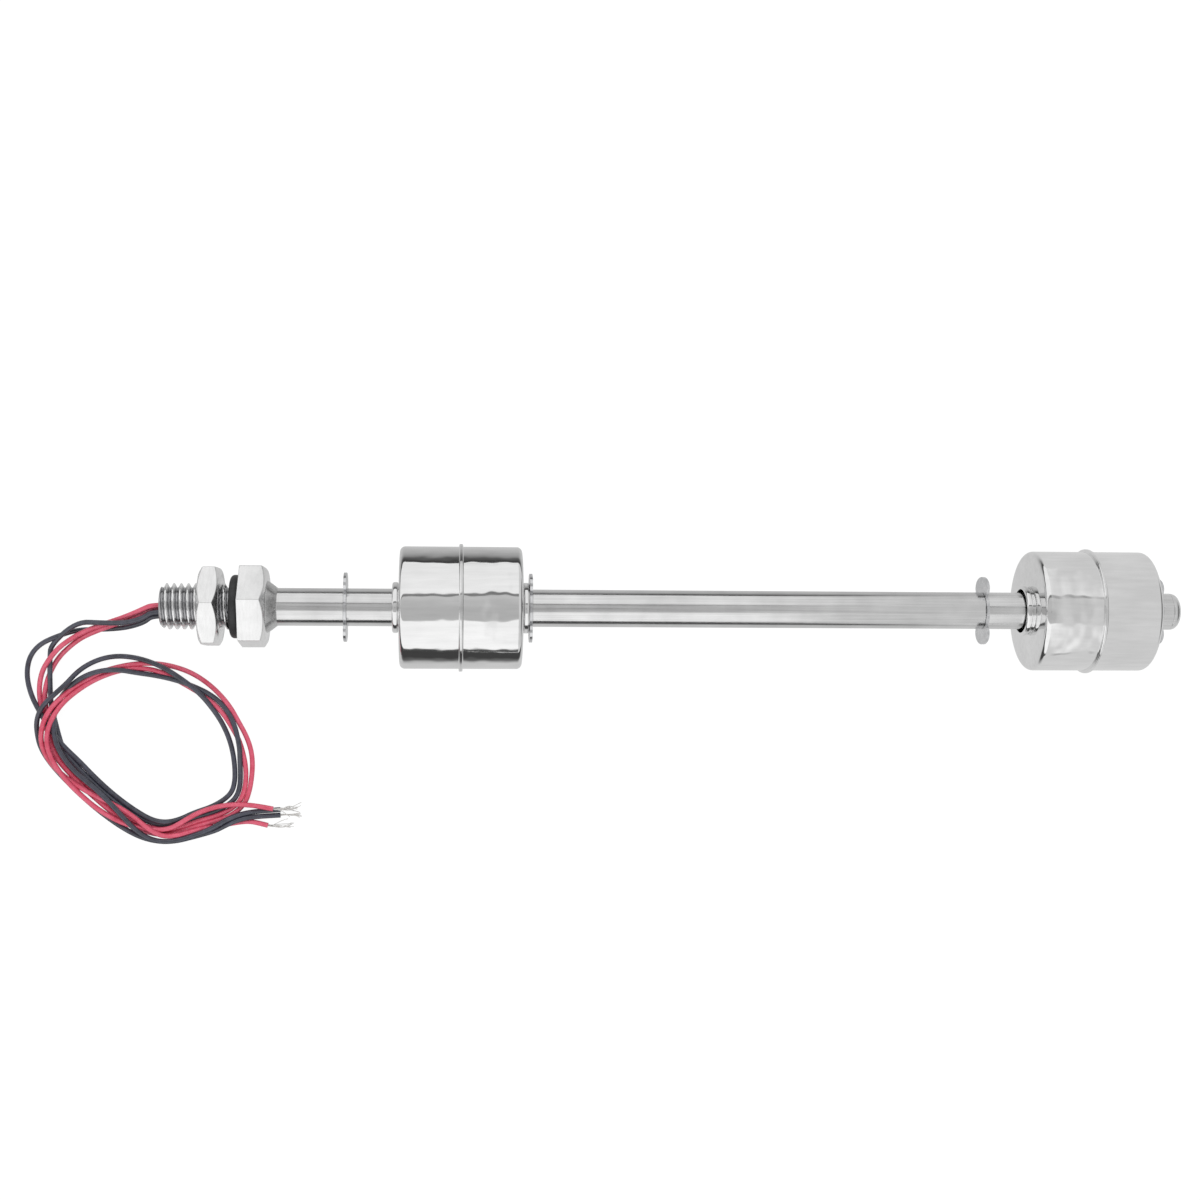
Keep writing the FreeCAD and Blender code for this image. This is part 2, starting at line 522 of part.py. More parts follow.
def cord_path(points):
    """Straight runs joined by tangent arcs, each arc as large as its two runs allow."""
    edges = []
    radii = []
    last = points[0]
    for before, corner, after in zip(points, points[1:], points[2:]):
        come = corner - before
        go = after - corner
        reach = ARC_SHARE * min(come.Length, go.Length)
        turn = come.getAngle(go)
        come.normalize()
        go.normalize()
        radius = reach / math.tan(turn / 2)
        inward = (go - come).normalize()
        middle = corner + inward * (radius / math.cos(turn / 2) - radius)
        start = corner - come * reach
        end = corner + go * reach
        edges.append(Part.LineSegment(last, start).toShape())
        edges.append(Part.Arc(start, middle, end).toShape())
        radii.append(radius)
        last = end
    edges.append(Part.LineSegment(last, points[-1]).toShape())
    return Part.Wire(edges), radii


def cord_tube(name, points, diameter):
    """A round cord along its route; prints its radii and compares its volume with section times length."""
    path, radii = cord_path(points)
    section = Part.Wire(Part.makeCircle(diameter / 2, points[0], points[1] - points[0]))
    sweep = Part.BRepOffsetAPI.MakePipeShell(path)
    sweep.add(section)
    sweep.build()
    sweep.makeSolid()
    tube = sweep.shape()
    expected = math.pi * diameter ** 2 / 4 * path.Length
    print(name, "length", round(path.Length, 1), "volume share", round(tube.Volume / expected, 4))
    print("    radii", [round(radius, 1) for radius in radii])
    return tube


def main():
    """Build every piece and write one STEP file for each."""
    pieces = {
        "mounting_fitting": mounting_fitting(),
        "lock_nut": lock_nut(),
        "seal_ring": seal_ring(),
        "stem_tube": stem_tube(),
        "end_plug": end_plug(),
        "potting_plug": potting_plug(),
        "reed_board": reed_board(),
    }
    clips = ("upper_float_top_clip", "upper_float_bottom_clip", "lower_float_top_clip", "lower_float_bottom_clip")
    for name, distance in zip(clips, clip_stations()):
        pieces[name] = stop_clip(distance)
    switches = (
        ("upper", UPPER_FLOAT_START, UPPER_FLOAT_TRAVEL, UPPER_WIRE_SPACING),
        ("lower", LOWER_FLOAT_START, LOWER_FLOAT_TRAVEL, LOWER_WIRE_SPACING))
    for name, start, travel, spacing in switches:
        reed = reed_middle(start, travel)
        pieces[name + "_float_top_shell"] = float_shell(start, -1)
        pieces[name + "_float_bottom_shell"] = float_shell(start, 1)
        pieces[name + "_float_sleeve"] = float_sleeve(start)
        pieces[name + "_float_magnet_holder"] = magnet_holder(start)
        pieces[name + "_float_magnet"] = ring_magnet(start)
        pieces[name + "_reed_glass"] = reed_glass(reed)
        pieces[name + "_reed_blades"] = reed_blades(reed)
        pieces[name + "_reed_wires"] = inner_wires(reed, spacing)
    for name, way in LEADS.items():
        pieces[name] = cord_tube(name, lead_route(way), LEAD_DIAMETER)
        pieces[name + "_strands"] = cord_tube(name + "_strands", strand_route(way), STRAND_BUNDLE_DIAMETER)
    os.makedirs("parts", exist_ok=True)
    for name, shape in pieces.items():
        if not shape.isValid():
            print("not valid:", name)
        print(name, "solids", len(shape.Solids), "volume", round(shape.Volume, 2))
        shape.exportStep("parts/" + name + ".step")


main()
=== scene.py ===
import bmesh
import bpy
import math
import random
from mathutils import Matrix, Vector


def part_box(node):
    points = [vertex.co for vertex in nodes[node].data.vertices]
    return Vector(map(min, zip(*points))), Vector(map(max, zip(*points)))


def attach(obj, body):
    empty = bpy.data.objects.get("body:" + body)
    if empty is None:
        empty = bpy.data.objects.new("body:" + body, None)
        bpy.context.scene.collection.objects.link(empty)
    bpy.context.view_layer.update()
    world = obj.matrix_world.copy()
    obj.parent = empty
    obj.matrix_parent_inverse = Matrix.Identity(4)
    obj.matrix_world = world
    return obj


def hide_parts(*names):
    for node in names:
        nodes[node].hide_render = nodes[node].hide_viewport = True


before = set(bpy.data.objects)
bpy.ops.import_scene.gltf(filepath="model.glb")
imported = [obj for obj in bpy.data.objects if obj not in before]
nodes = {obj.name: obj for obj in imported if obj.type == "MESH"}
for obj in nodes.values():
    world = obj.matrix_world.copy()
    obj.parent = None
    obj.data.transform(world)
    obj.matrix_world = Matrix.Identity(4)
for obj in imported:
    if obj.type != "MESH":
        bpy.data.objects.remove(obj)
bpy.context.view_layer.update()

# The switch lies on its two floats. Sizes are in millimetres; the model itself is in metres.
MM = 0.001

# Stem axis and the places along it, read from the solids they belong to
AXIS_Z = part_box("upper_float_top_shell")[1][2] / MM / 2
STUD_END_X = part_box("mounting_fitting")[0][0] / MM
FACE_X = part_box("seal_ring")[1][0] / MM
SEAL_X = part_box("seal_ring")[0][0] / MM
BOSS_END_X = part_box("mounting_fitting")[1][0] / MM
TUBE_START_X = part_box("stem_tube")[0][0] / MM
TUBE_END_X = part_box("stem_tube")[1][0] / MM
TIP_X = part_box("end_plug")[1][0] / MM
POTTING_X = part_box("potting_plug")[0][0] / MM


def point(x, y=0.0, z=0.0):
    """A point in metres, given in millimetres from the stem axis."""
    return Vector((x * MM, y * MM, (AXIS_Z + z) * MM))


# Camera: above the table, looking down and a little towards the tip; its place and range in metres
LENS_MM = 52.92
CAMERA_AT = (-0.04957, 0.00184, 0.3905)
CAMERA_YAW = math.radians(4.86)
CAMERA_ROLL = math.radians(0.34)
CAMERA_RANGE = (0.01, 20)


def place_camera():
    """Camera over the stem, looking down, with the stem almost level in the picture."""
    camera = bpy.data.objects.new("camera", bpy.data.cameras.new("camera"))
    bpy.context.scene.collection.objects.link(camera)
    camera.data.lens = LENS_MM
    camera.data.clip_start, camera.data.clip_end = CAMERA_RANGE
    forward = Vector((math.sin(CAMERA_YAW), 0, -math.cos(CAMERA_YAW)))
    level_right = Vector((math.cos(CAMERA_YAW), 0, math.sin(CAMERA_YAW)))
    level_up = level_right.cross(forward)
    right = level_right * math.cos(CAMERA_ROLL) + level_up * math.sin(CAMERA_ROLL)
    up = level_up * math.cos(CAMERA_ROLL) - level_right * math.sin(CAMERA_ROLL)
    turn = Matrix((right, up, -forward)).transposed().to_4x4()
    camera.matrix_world = Matrix.Translation(CAMERA_AT) @ turn
    bpy.context.scene.camera = camera


place_camera()


def hex_colour(code):
    """Linear colour from an sRGB hex value."""
    parts = [int(code[i:i + 2], 16) / 255 for i in (1, 3, 5)]
    return [part / 12.92 if part <= 0.04045 else ((part + 0.055) / 1.055) ** 2.4 for part in parts] + [1.0]


def add(tree, kind, inputs=None, **settings):
    """One node with its settings; an input that is a socket is linked, any other is a value."""
    made = tree.nodes.new(kind)
    for name, value in settings.items():
        setattr(made, name, value)
    for key, value in (inputs or {}).items():
        if isinstance(value, bpy.types.NodeSocket):
            tree.links.new(value, made.inputs[key])
        else:
            made.inputs[key].default_value = value
    return made


def math_node(tree, operation, first, second=0.0):
    """The result of one maths node."""
    return add(tree, "ShaderNodeMath", {0: first, 1: second}, operation=operation).outputs[0]


def blank_material(name):
    """A material with an empty tree and its output."""
    made = bpy.data.materials.new(name)
    made.use_nodes = True
    made.node_tree.nodes.clear()
    return made, made.node_tree, made.node_tree.nodes.new("ShaderNodeOutputMaterial")


# Noise that the finishes are drawn with: how much of the tone is slow mottle, and which stretch of the
# noise runs from the dark to the light tone and from the least to the most roughness
MOTTLE_SHARE = 0.45
MOTTLE_DETAIL = 2.0
TONE_STRETCH = (0.32, 0.68)
GLOSS_STRETCH = (0.3, 0.7)


def worked_surface(name, light, dark, rough, metallic=0.0, grain=(1.0, 1.0, 1.0), relief=0.0, detail=4.0,
                   mottle=8.0, dent=0.0, root_shade_span=None, shader=None):
    """A procedural surface: grain of the given size in mm along X, Y and Z, in tone, gloss and relief.

    rough is the least and most roughness, relief the grain's height in mm, mottle the size in mm of
    the slow changes of tone that handling and rolling leave, and dent the height of those in mm.
    root_shade_span is two distances from the stem axis in mm: the tone goes from dark to light between them,
    painted shade that darkens the roots of a thread.
    """
    made, tree, output = blank_material(name)
    place = add(tree, "ShaderNodeTexCoord").outputs["Object"]
    scale = [1 / (size * MM) for size in grain]
    stretched = add(tree, "ShaderNodeMapping", {"Vector": place, "Scale": scale}).outputs["Vector"]
    fine = add(tree, "ShaderNodeTexNoise",
               {"Vector": stretched, "Scale": 1.0, "Detail": detail}).outputs["Fac"]
    slow = add(tree, "ShaderNodeTexNoise",
               {"Vector": place, "Scale": 1 / (mottle * MM), "Detail": MOTTLE_DETAIL}).outputs["Fac"]
    both = add(tree, "ShaderNodeMix", {"Factor": MOTTLE_SHARE, "A": fine, "B": slow}).outputs["Result"]
    share = add(tree, "ShaderNodeMapRange", {"Value": both, "From Min": TONE_STRETCH[0],
                                             "From Max": TONE_STRETCH[1]}).outputs["Result"]
    # Painted shade: in place of the noise tone, the tone darkens towards the stem axis, down into the
    # thread's roots
    if root_shade_span:
        across = add(tree, "ShaderNodeVectorMath", {0: place, 1: (0, 0, -AXIS_Z * MM)},
                     operation="ADD").outputs[0]
        flat = add(tree, "ShaderNodeVectorMath", {0: across, 1: (0, 1, 1)}, operation="MULTIPLY").outputs[0]
        reach = add(tree, "ShaderNodeVectorMath", {0: flat}, operation="LENGTH").outputs["Value"]
        share = add(tree, "ShaderNodeMapRange", {"Value": reach, "From Min": root_shade_span[0] * MM,
                                                 "From Max": root_shade_span[1] * MM}).outputs["Result"]
    tone = add(tree, "ShaderNodeMix", {0: share, 6: hex_colour(dark), 7: hex_colour(light)},
               data_type="RGBA").outputs[2]
    gloss = add(tree, "ShaderNodeMapRange",
                {"Value": fine, "From Min": GLOSS_STRETCH[0], "From Max": GLOSS_STRETCH[1],
                 "To Min": rough[0], "To Max": rough[1]})
    inputs = {"Base Color": tone, "Roughness": gloss.outputs["Result"], "Metallic": metallic}
    inputs.update(shader or {})
    for height, depth in ((slow, dent), (fine, relief)):
        if depth:
            worn = {"Normal": inputs["Normal"]} if "Normal" in inputs else {}
            bump = add(tree, "ShaderNodeBump",
                       {"Height": height, "Distance": depth * MM, "Strength": 1.0, **worn})
            inputs["Normal"] = bump.outputs["Normal"]
    body = add(tree, "ShaderNodeBsdfPrincipled", inputs)
    tree.links.new(body.outputs["BSDF"], output.inputs["Surface"])
    return made


# Polished stainless steel, deep drawn: a near mirror with faint drawing lines along the stem
polished_stainless = worked_surface("polished_stainless", "#f2f2f2", "#e3e3e3", (0.045, 0.09), 1.0,
                                    grain=(9.0, 1.1, 1.1), relief=0.0015, mottle=9.0, dent=0.4)
# Cold-drawn stainless tube: long pale and dark streaks along its length
drawn_stainless = worked_surface("drawn_stainless", "#ebebeb", "#cdcdcd", (0.12, 0.21), 1.0,
                                 grain=(30.0, 0.5, 0.5), relief=0.001, mottle=6.5)
# Machined stainless bar: flats cut across the hexagon, soft and pale
machined_stainless = worked_surface("machined_stainless", "#f7f7f7", "#e6e6e6", (0.17, 0.26), 1.0,
                                    grain=(0.5, 3.0, 3.0), relief=0.0015, mottle=3.0)
# Cut thread in the same bar, with painted shade: the tone runs from bright at each crest to grey in the roots
threaded_stainless_root_shade = worked_surface("threaded_stainless_root_shade", "#fbfbfb", "#a8a8aa", (0.16, 0.28), 1.0,
                                    grain=(0.3, 2.4, 2.4), relief=0.001, mottle=2.0, root_shade_span=(4.0, 4.75))
# Stamped spring steel: tumbled, with small dents in its gloss
stamped_spring_steel = worked_surface("stamped_spring_steel", "#e6e6e7", "#c4c5c7", (0.16, 0.3), 1.0,
                                      grain=(0.8, 0.8, 0.8), relief=0.004, mottle=2.0)
# Weld bead, brushed clean: rippled and a little darker
weld_bead_steel = worked_surface("weld_bead_steel", "#dcdcdc", "#b9b9b9", (0.22, 0.34), 1.0,
                                 grain=(0.5, 0.5, 0.5), relief=0.01, mottle=1.5)
# Moulded nitrile rubber: soot black and dull
moulded_nitrile = worked_surface("moulded_nitrile", "#363637", "#202021", (0.45, 0.6),
                                 grain=(0.5, 0.5, 0.5), relief=0.006, mottle=2.0)
# Extruded PVC insulation, red: a soft shine and slightly uneven tint
extruded_red_pvc = worked_surface("extruded_red_pvc", "#db6079", "#c44059", (0.2, 0.3),
                                  grain=(1.2, 1.2, 1.2), relief=0.006, mottle=5.0,
                                  shader={"Specular IOR Level": 0.8})
# Extruded PVC insulation, black: blue-black with the same soft shine
extruded_black_pvc = worked_surface("extruded_black_pvc", "#444654", "#272831", (0.2, 0.3),
                                    grain=(1.2, 1.2, 1.2), relief=0.006, mottle=5.0,
                                    shader={"Specular IOR Level": 0.8})
# Tinned copper strand: bright grey wire with a warm tinge where the tin is thin
tinned_copper = worked_surface("tinned_copper", "#f3f2f0", "#cfcbc6", (0.24, 0.4), 1.0,
                               grain=(0.3, 0.3, 0.3), relief=0.002, mottle=0.8)
# Cast epoxy: black, glossy, with a slight skin
cast_epoxy = worked_surface("cast_epoxy", "#1c1c1f", "#111113", (0.16, 0.32),
                            grain=(0.9, 0.9, 0.9), relief=0.01, mottle=2.0)
# Glass-fibre laminate: green, with its weave showing
fibre_laminate = worked_surface("fibre_laminate", "#2f6b3f", "#1d4a2b", (0.38, 0.55),
                                grain=(0.6, 0.6, 0.6), relief=0.01, mottle=2.0)
# Soda glass of the reed capsules: clear with a green tint
capsule_glass = worked_surface("capsule_glass", "#cfe8d6", "#b4d8c0", (0.02, 0.06),
                               grain=(3.0, 1.0, 1.0), mottle=3.0,
                               shader={"Transmission Weight": 0.92, "IOR": 1.52})
# Nickel-iron reed, gold flashed: satin, slightly warm
reed_alloy = worked_surface("reed_alloy", "#c9bfa6", "#a79c84", (0.22, 0.36), 1.0,
                            grain=(2.0, 0.2, 0.2), relief=0.002, mottle=2.0)
# Moulded nylon of the magnet holder: ivory, waxy
moulded_nylon = worked_surface("moulded_nylon", "#e6e2d4", "#d3cdbb", (0.42, 0.56),
                               grain=(0.9, 0.9, 0.9), relief=0.01, mottle=4.0)
# Sintered ferrite: charcoal, matt and gritty
sintered_ferrite = worked_surface("sintered_ferrite", "#3a3a3d", "#242427", (0.55, 0.75),
                                  grain=(0.15, 0.15, 0.15), relief=0.01, mottle=1.5)
# Extruded wire insulation inside the stem: off-white, smooth
extruded_white_pvc = worked_surface("extruded_white_pvc", "#e7e6e1", "#d6d4cc", (0.3, 0.42),
                                    grain=(1.2, 1.2, 1.2), mottle=4.0)


def finished(name, mesh, material, body, stands_for=(), rides=True):
    """Turns a mesh in metres into a piece on its body, in place of the solids it stands for."""
    piece = bpy.data.objects.new(name, mesh)
    bpy.context.scene.collection.objects.link(piece)
    mesh.materials.clear()
    mesh.materials.append(material)
    if rides:
        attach(piece, body)
    if stands_for:
        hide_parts(*stands_for)
    return piece


# Leads: given points, each with its distance out from the potting face and its Y, both times
# ROUTE_SCALE, and its height. An exit is (Y, height) from the stem axis. Heights of a drop are shares
# of the axis height; on the floor they count lead diameters up to the lead's middle.
LEAD_DIAMETER = 1.1
ROUTE_SCALE = 0.93
LEAD_FIRST_RUN = 2.6
LEAD_SECTION_STEPS = 5
LEAD_CURVE_STEPS = 6
FLOOR_GAP = 0.01
RED_LEAD_1_EXIT = (0.2, 0.6)
RED_LEAD_1_DROP = [
    (4.6, -0.7, 0.98), (9, -2.5, 0.79), (14.8, -4.3, 0.56), (20.5, -6.4, 0.33),
]
RED_LEAD_1_FLOOR = [
    (25.2, -9.4, 2.7), (27.4, -12, 2.6), (29.4, -14.8, 1.5), (30.4, -18, 0.55), (30.4, -21.2, 0.5),
    (29.8, -24.5, 0.5), (28.9, -28, 0.5), (28, -31.5, 0.5), (26.6, -35.4, 0.5), (23.8, -38.7, 0.5),
    (20.8, -41.9, 0.5), (17.5, -44.9, 0.5), (14, -48, 0.5), (10, -50.8, 0.5), (5.9, -52.8, 0.5),
    (2, -53.6, 0.5), (-1.9, -52.9, 0.5), (-5.8, -51.4, 0.5), (-9.9, -50.4, 0.5), (-14.1, -48.9, 0.5),
    (-16.8, -46.4, 0.5), (-17.9, -43.3, 0.5), (-18.4, -40.1, 0.5), (-18.6, -36.8, 0.5),
    (-18.2, -33.5, 0.5), (-17, -30.2, 0.5), (-15.2, -27, 0.5), (-13.4, -23.7, 0.5), (-10.8, -20.5, 0.5),
    (-7.7, -17.7, 0.5), (-4, -15.4, 0.5), (0.2, -14, 0.5), (4.3, -13.4, 0.5), (8.4, -13.5, 0.5),
    (12.3, -14.2, 0.5), (16, -15.3, 0.5), (19.2, -16.9, 0.5), (22, -18.6, 0.9), (24.4, -20.6, 1.8),
    (26.5, -22.8, 2.7), (28.4, -25.6, 2.8), (29.4, -28.7, 2.6), (29.6, -32, 2), (28.4, -35.2, 1.6),
    (26.3, -38, 1.5), (23.5, -40.4, 1.5), (20.3, -42.5, 1.5), (17.2, -44.3, 1.5), (14.2, -45.7, 1.5),
    (11.4, -47.2, 1.5), (8.6, -49, 1.7), (6, -51, 2.4), (3.6, -52.8, 2.4), (1, -53.8, 1.6),
    (-1.9, -53.4, 1.5), (-4.8, -52.6, 1.3), (-7.4, -52, 0.8), (-10, -51.6, 0.5), (-12.7, -51.1, 0.5),
    (-15.5, -50.6, 0.5), (-18, -50.4, 0.5), (-20.3, -50.9, 0.5), (-22.2, -51.4, 0.5),
]
RED_LEAD_1_STRANDS = [
    (-23.4, -51.7, 0.41), (-28.6, -50.5, 0.37),
]
RED_LEAD_2_EXIT = (-0.5, -0.5)
RED_LEAD_2_DROP = [
    (4.8, -1.6, 0.88), (9.3, -3.4, 0.7), (15, -5.3, 0.51), (20.4, -7.4, 0.26),
]
RED_LEAD_2_FLOOR = [
    (24.2, -10.3, 1.6), (26.3, -12.5, 0.7), (27.8, -15.1, 0.5), (28.8, -18, 0.5), (29.3, -21.2, 0.5),
    (28.7, -24.6, 0.5), (27.8, -27.9, 0.5), (26.9, -31.1, 0.5), (25.7, -34.7, 0.5), (23, -37.9, 0.5),
    (20, -41, 0.5), (16.8, -44.1, 0.5), (13.2, -47.1, 0.5), (9.3, -49.8, 0.5), (5.6, -51.7, 0.5),
    (1.8, -52.4, 0.5), (-1.9, -51.8, 0.5), (-5.7, -50.3, 0.5), (-9.7, -49.3, 0.5), (-13.4, -47.8, 0.5),
    (-15.8, -45.7, 0.5), (-16.8, -42.9, 0.5), (-17.1, -39.9, 0.5), (-16.9, -37, 0.5), (-16.3, -34.2, 0.5),
    (-15.4, -31.3, 0.5), (-13.8, -28.4, 0.5), (-12.1, -25.7, 0.5), (-10, -23.2, 0.5), (-7.3, -21.1, 0.5),
    (-4.5, -19.3, 0.5), (-1.3, -17.5, 0.5), (1.9, -15.7, 0.5), (5.4, -14.7, 0.5), (9.1, -14.6, 0.5),
    (12.8, -15.3, 0.5), (16.2, -16.5, 0.5), (19.3, -18.1, 0.5), (21.8, -19.9, 1.1), (24, -21.8, 1.7),
    (25.9, -24.2, 2.6), (27.4, -27.1, 2.8), (28.2, -30.2, 2.8), (27.9, -33.2, 2.7), (26.8, -36, 2.6),
    (25.1, -38.7, 2.6), (23.1, -41.3, 2.2), (20.7, -43.9, 1.6), (17.7, -46.6, 1.5), (14.3, -48.9, 1.5),
    (10.7, -50.7, 1.5), (6.9, -51.8, 1.4), (3.2, -52.2, 1.5), (0.2, -51.9, 1.6), (-2.2, -50.6, 2.3),
    (-4.2, -49.3, 2.3), (-6.9, -47.9, 1.8), (-10.5, -46.8, 1.6), (-14.4, -46.3, 1.5), (-18.1, -46.5, 1.4),
    (-21.1, -46.9, 1.6), (-23.5, -47.4, 1.6),
]
RED_LEAD_2_STRANDS = [
    (-24.7, -47.7, 1.4), (-29, -48.3, 0.8),
]
BLACK_LEAD_1_EXIT = (-1.3, 0.8)
BLACK_LEAD_1_DROP = [
    (4, -2.4, 1), (6.3, -3.3, 0.96), (9.6, -3.9, 0.86), (14.8, -3.9, 0.65), (21, -3.7, 0.38),
]
BLACK_LEAD_1_FLOOR = [
    (27.6, -9.1, 1.6), (27.8, -12.1, 1.5), (27.8, -14.9, 1.5), (27.9, -17.7, 0.9), (27.9, -20.8, 0.5),
    (27.6, -24, 0.5), (26.7, -27.3, 0.5), (25.9, -30.5, 0.5), (24.8, -33.9, 0.5), (22.2, -37, 0.5),
    (19.2, -40.2, 0.5), (16, -43.2, 0.5), (12.5, -46.2, 0.5), (8.8, -48.8, 0.5), (5, -50.6, 0.5),
    (1.6, -51.3, 0.5), (-1.9, -50.7, 0.5), (-5.4, -49.3, 0.5), (-9.2, -48.3, 0.5), (-12.7, -46.8, 0.5),
    (-14.9, -44.8, 0.5), (-15.7, -42.2, 0.5), (-15.8, -39.3, 0.5), (-15.7, -36.3, 0.9),
    (-15.7, -33.3, 1.5), (-15.2, -30.5, 1.6), (-14.4, -27.6, 1.4), (-12.9, -24.7, 0.8),
    (-10.8, -22.3, 0.5), (-8.4, -20.4, 1.1), (-5.7, -19, 1.6), (-2.6, -17.8, 1.6), (1.1, -16.8, 0.9),
    (4.9, -16.1, 0.5), (8.3, -15.6, 1), (11.4, -15, 1.6), (14.6, -14.9, 1.6), (17.8, -15.5, 1.6),
    (20.7, -16.8, 1.6), (23.1, -18.6, 1.5), (25.2, -20.9, 0.9), (26.4, -23.6, 1.4), (26.7, -26.5, 2.4),
    (26.5, -29.6, 2.7), (25.8, -32.6, 2.7), (24.3, -35.4, 2.6), (22.2, -38, 2.6), (19.6, -40.4, 2.6),
    (16.8, -42.7, 2.6), (14.3, -45.1, 2.7), (12, -47.6, 2.7), (9.7, -50.2, 2.6), (7.4, -52.5, 2.4),
    (4.7, -54.3, 1.9), (1.5, -55, 1.7), (-1.9, -54.6, 1.7), (-5, -53.6, 1.7), (-7.8, -52.6, 1.7),
    (-10.5, -51.2, 1.9), (-13, -49.7, 2.1), (-15.9, -48.6, 1.5), (-19.1, -48.1, 0.8), (-22.2, -47.9, 0.5),
    (-25.1, -47.7, 0.5),
]
BLACK_LEAD_1_STRANDS = [
    (-26.3, -47.5, 0.55), (-30.2, -47.2, 0.75),
]
BLACK_LEAD_2_EXIT = (-2.2, -0.3)
BLACK_LEAD_2_DROP = [
    (4.2, -3.5, 0.9), (6.8, -4.4, 0.78), (10, -5.1, 0.63), (15.6, -5.5, 0.37), (21.5, -5.6, 0.2),
]
BLACK_LEAD_2_FLOOR = [
    (26.9, -7.5, 2.6), (30.4, -9.2, 1.2), (32.6, -11.8, 0.5), (33.3, -15.1, 0.5), (33, -18.3, 0.5),
    (32, -21.5, 0.5), (30.5, -24.2, 0.9), (28.7, -27, 1.6), (27, -29.6, 1.6), (25.3, -31.9, 1.5),
    (23.5, -34, 0.9), (21.2, -36.3, 0.5), (18.3, -39.4, 0.5), (15.2, -42.4, 0.5), (11.8, -45.3, 0.5),
    (8.1, -47.9, 0.8), (4.5, -49.9, 1.3), (1.3, -50.5, 1.4), (-1.8, -49.9, 1), (-5.2, -48.3, 0.5),
    (-8.9, -47.1, 0.5), (-11.7, -45.6, 0.5), (-13.8, -43.7, 0.5), (-14.5, -41.1, 0.5),
    (-14.5, -38.2, 0.5), (-14.2, -35.4, 0.5), (-13.6, -32.5, 0.5), (-12.5, -29.4, 0.5), (-11, -26.5, 0.5),
    (-9.2, -23.8, 0.9), (-7.2, -21.1, 1.9), (-4.9, -18.8, 2.7), (-2, -16.7, 2.4), (1.4, -14.6, 1.7),
    (5, -13, 1.5), (8.8, -12, 0.9), (12.7, -11.7, 0.5), (16.2, -12.3, 0.5), (19.4, -13.7, 0.6),
    (21.8, -15.6, 1.5), (23.6, -17.9, 2.6), (25.7, -19.9, 2.8), (27.9, -21.9, 2.7), (29.8, -24.1, 2.1),
    (30.9, -26.9, 1.1), (30.9, -29.7, 0.5), (30.2, -32.8, 0.5), (28.3, -36.1, 0.5), (25.6, -39.3, 0.5),
    (22.6, -42.4, 0.5), (19.4, -45.5, 0.5), (15.6, -48.7, 0.5), (11.3, -51.8, 0.5), (7, -54.1, 0.5),
    (2.9, -55.1, 0.5), (-1, -55, 0.5), (-4.6, -54.1, 0.5), (-7.6, -53.3, 0.5), (-10.2, -52.5, 0.6),
    (-12.6, -51.2, 1.3), (-14.9, -50.1, 1.6), (-17.9, -49.4, 1.1), (-21.4, -49.2, 0.5), (-25.1, -49, 0.5),
]
BLACK_LEAD_2_STRANDS = [
    (-26.3, -48.9, 0.55), (-30.4, -49.9, 0.45),
]
LEADS = {
    "red_lead_1": (RED_LEAD_1_EXIT, RED_LEAD_1_DROP, RED_LEAD_1_FLOOR, RED_LEAD_1_STRANDS),
    "red_lead_2": (RED_LEAD_2_EXIT, RED_LEAD_2_DROP, RED_LEAD_2_FLOOR, RED_LEAD_2_STRANDS),
    "black_lead_1": (BLACK_LEAD_1_EXIT, BLACK_LEAD_1_DROP, BLACK_LEAD_1_FLOOR, BLACK_LEAD_1_STRANDS),
    "black_lead_2": (BLACK_LEAD_2_EXIT, BLACK_LEAD_2_DROP, BLACK_LEAD_2_FLOOR, BLACK_LEAD_2_STRANDS),
}


def floor_point(spot):
    """A lead's point on or near the floor, in metres."""
    out, y, level = spot
    height = (level * LEAD_DIAMETER + FLOOR_GAP) * MM
    return Vector(((POTTING_X - out * ROUTE_SCALE) * MM, y * ROUTE_SCALE * MM, height))


def lead_route(way):
    """A lead's points in metres, from the potting to its cut end."""
    (exit_y, exit_z), drop, floor = way[:3]
    across, above = exit_y * ROUTE_SCALE, exit_z * ROUTE_SCALE
    route = [point(POTTING_X, across, above), point(POTTING_X - LEAD_FIRST_RUN * ROUTE_SCALE, across, above)]
    for out, y, share in drop:
        route.append(Vector(((POTTING_X - out * ROUTE_SCALE) * MM, y * ROUTE_SCALE * MM,
                             share * AXIS_Z * MM)))
    return route + [floor_point(spot) for spot in floor]


def lead_curve(name, route, material):
    """A lead as one smooth spline that has the route's points as its control points."""
    curve = bpy.data.curves.new(name, "CURVE")
    curve.dimensions = "3D"
    curve.bevel_depth = LEAD_DIAMETER / 2 * MM
    curve.bevel_resolution = LEAD_SECTION_STEPS
    curve.resolution_u = LEAD_CURVE_STEPS
    curve.use_fill_caps = True
    spline = curve.splines.new("NURBS")
    spline.points.add(len(route) - 1)
    for control, place in zip(spline.points, route):
        control.co = (*place, 1.0)
    spline.order_u = 3
    spline.use_endpoint_u = True
    curve.materials.append(material)
    lead = bpy.data.objects.new(name, curve)
    bpy.context.scene.collection.objects.link(lead)
    return lead


# Corners sharper than this many degrees stay crisp, and points nearer than this many metres are one
CREASE_ANGLE = 35.0
THREAD_CREASE_ANGLE = 28
MERGE_DISTANCE = 2e-6

# Bared end of a lead: its strands spring apart as they leave the insulation. Each strand draws its share
# of the full length, how far it drifts and curls up or down, and how many half waves it curls through.
STRAND_RADIUS = 0.065
STRANDS_PER_LEAD = 6
STRAND_PACK_RADIUS = 0.2
STRAND_SPREAD = 1.15
STRAND_OVERLAP = 0.4
STRAND_CURL = 0.7
STRAND_STEPS = 7
STRAND_CURVE_STEPS = 5
STRAND_SIDES = 8
STRAND_LENGTH_SHARE = (0.72, 1.0)
STRAND_DRIFT_UP = (-0.25, 0.9)
STRAND_CURL_UP = (-0.4, 0.8)
STRAND_HALF_WAVES = (0.8, 1.6)
STRAND_SEED = 41


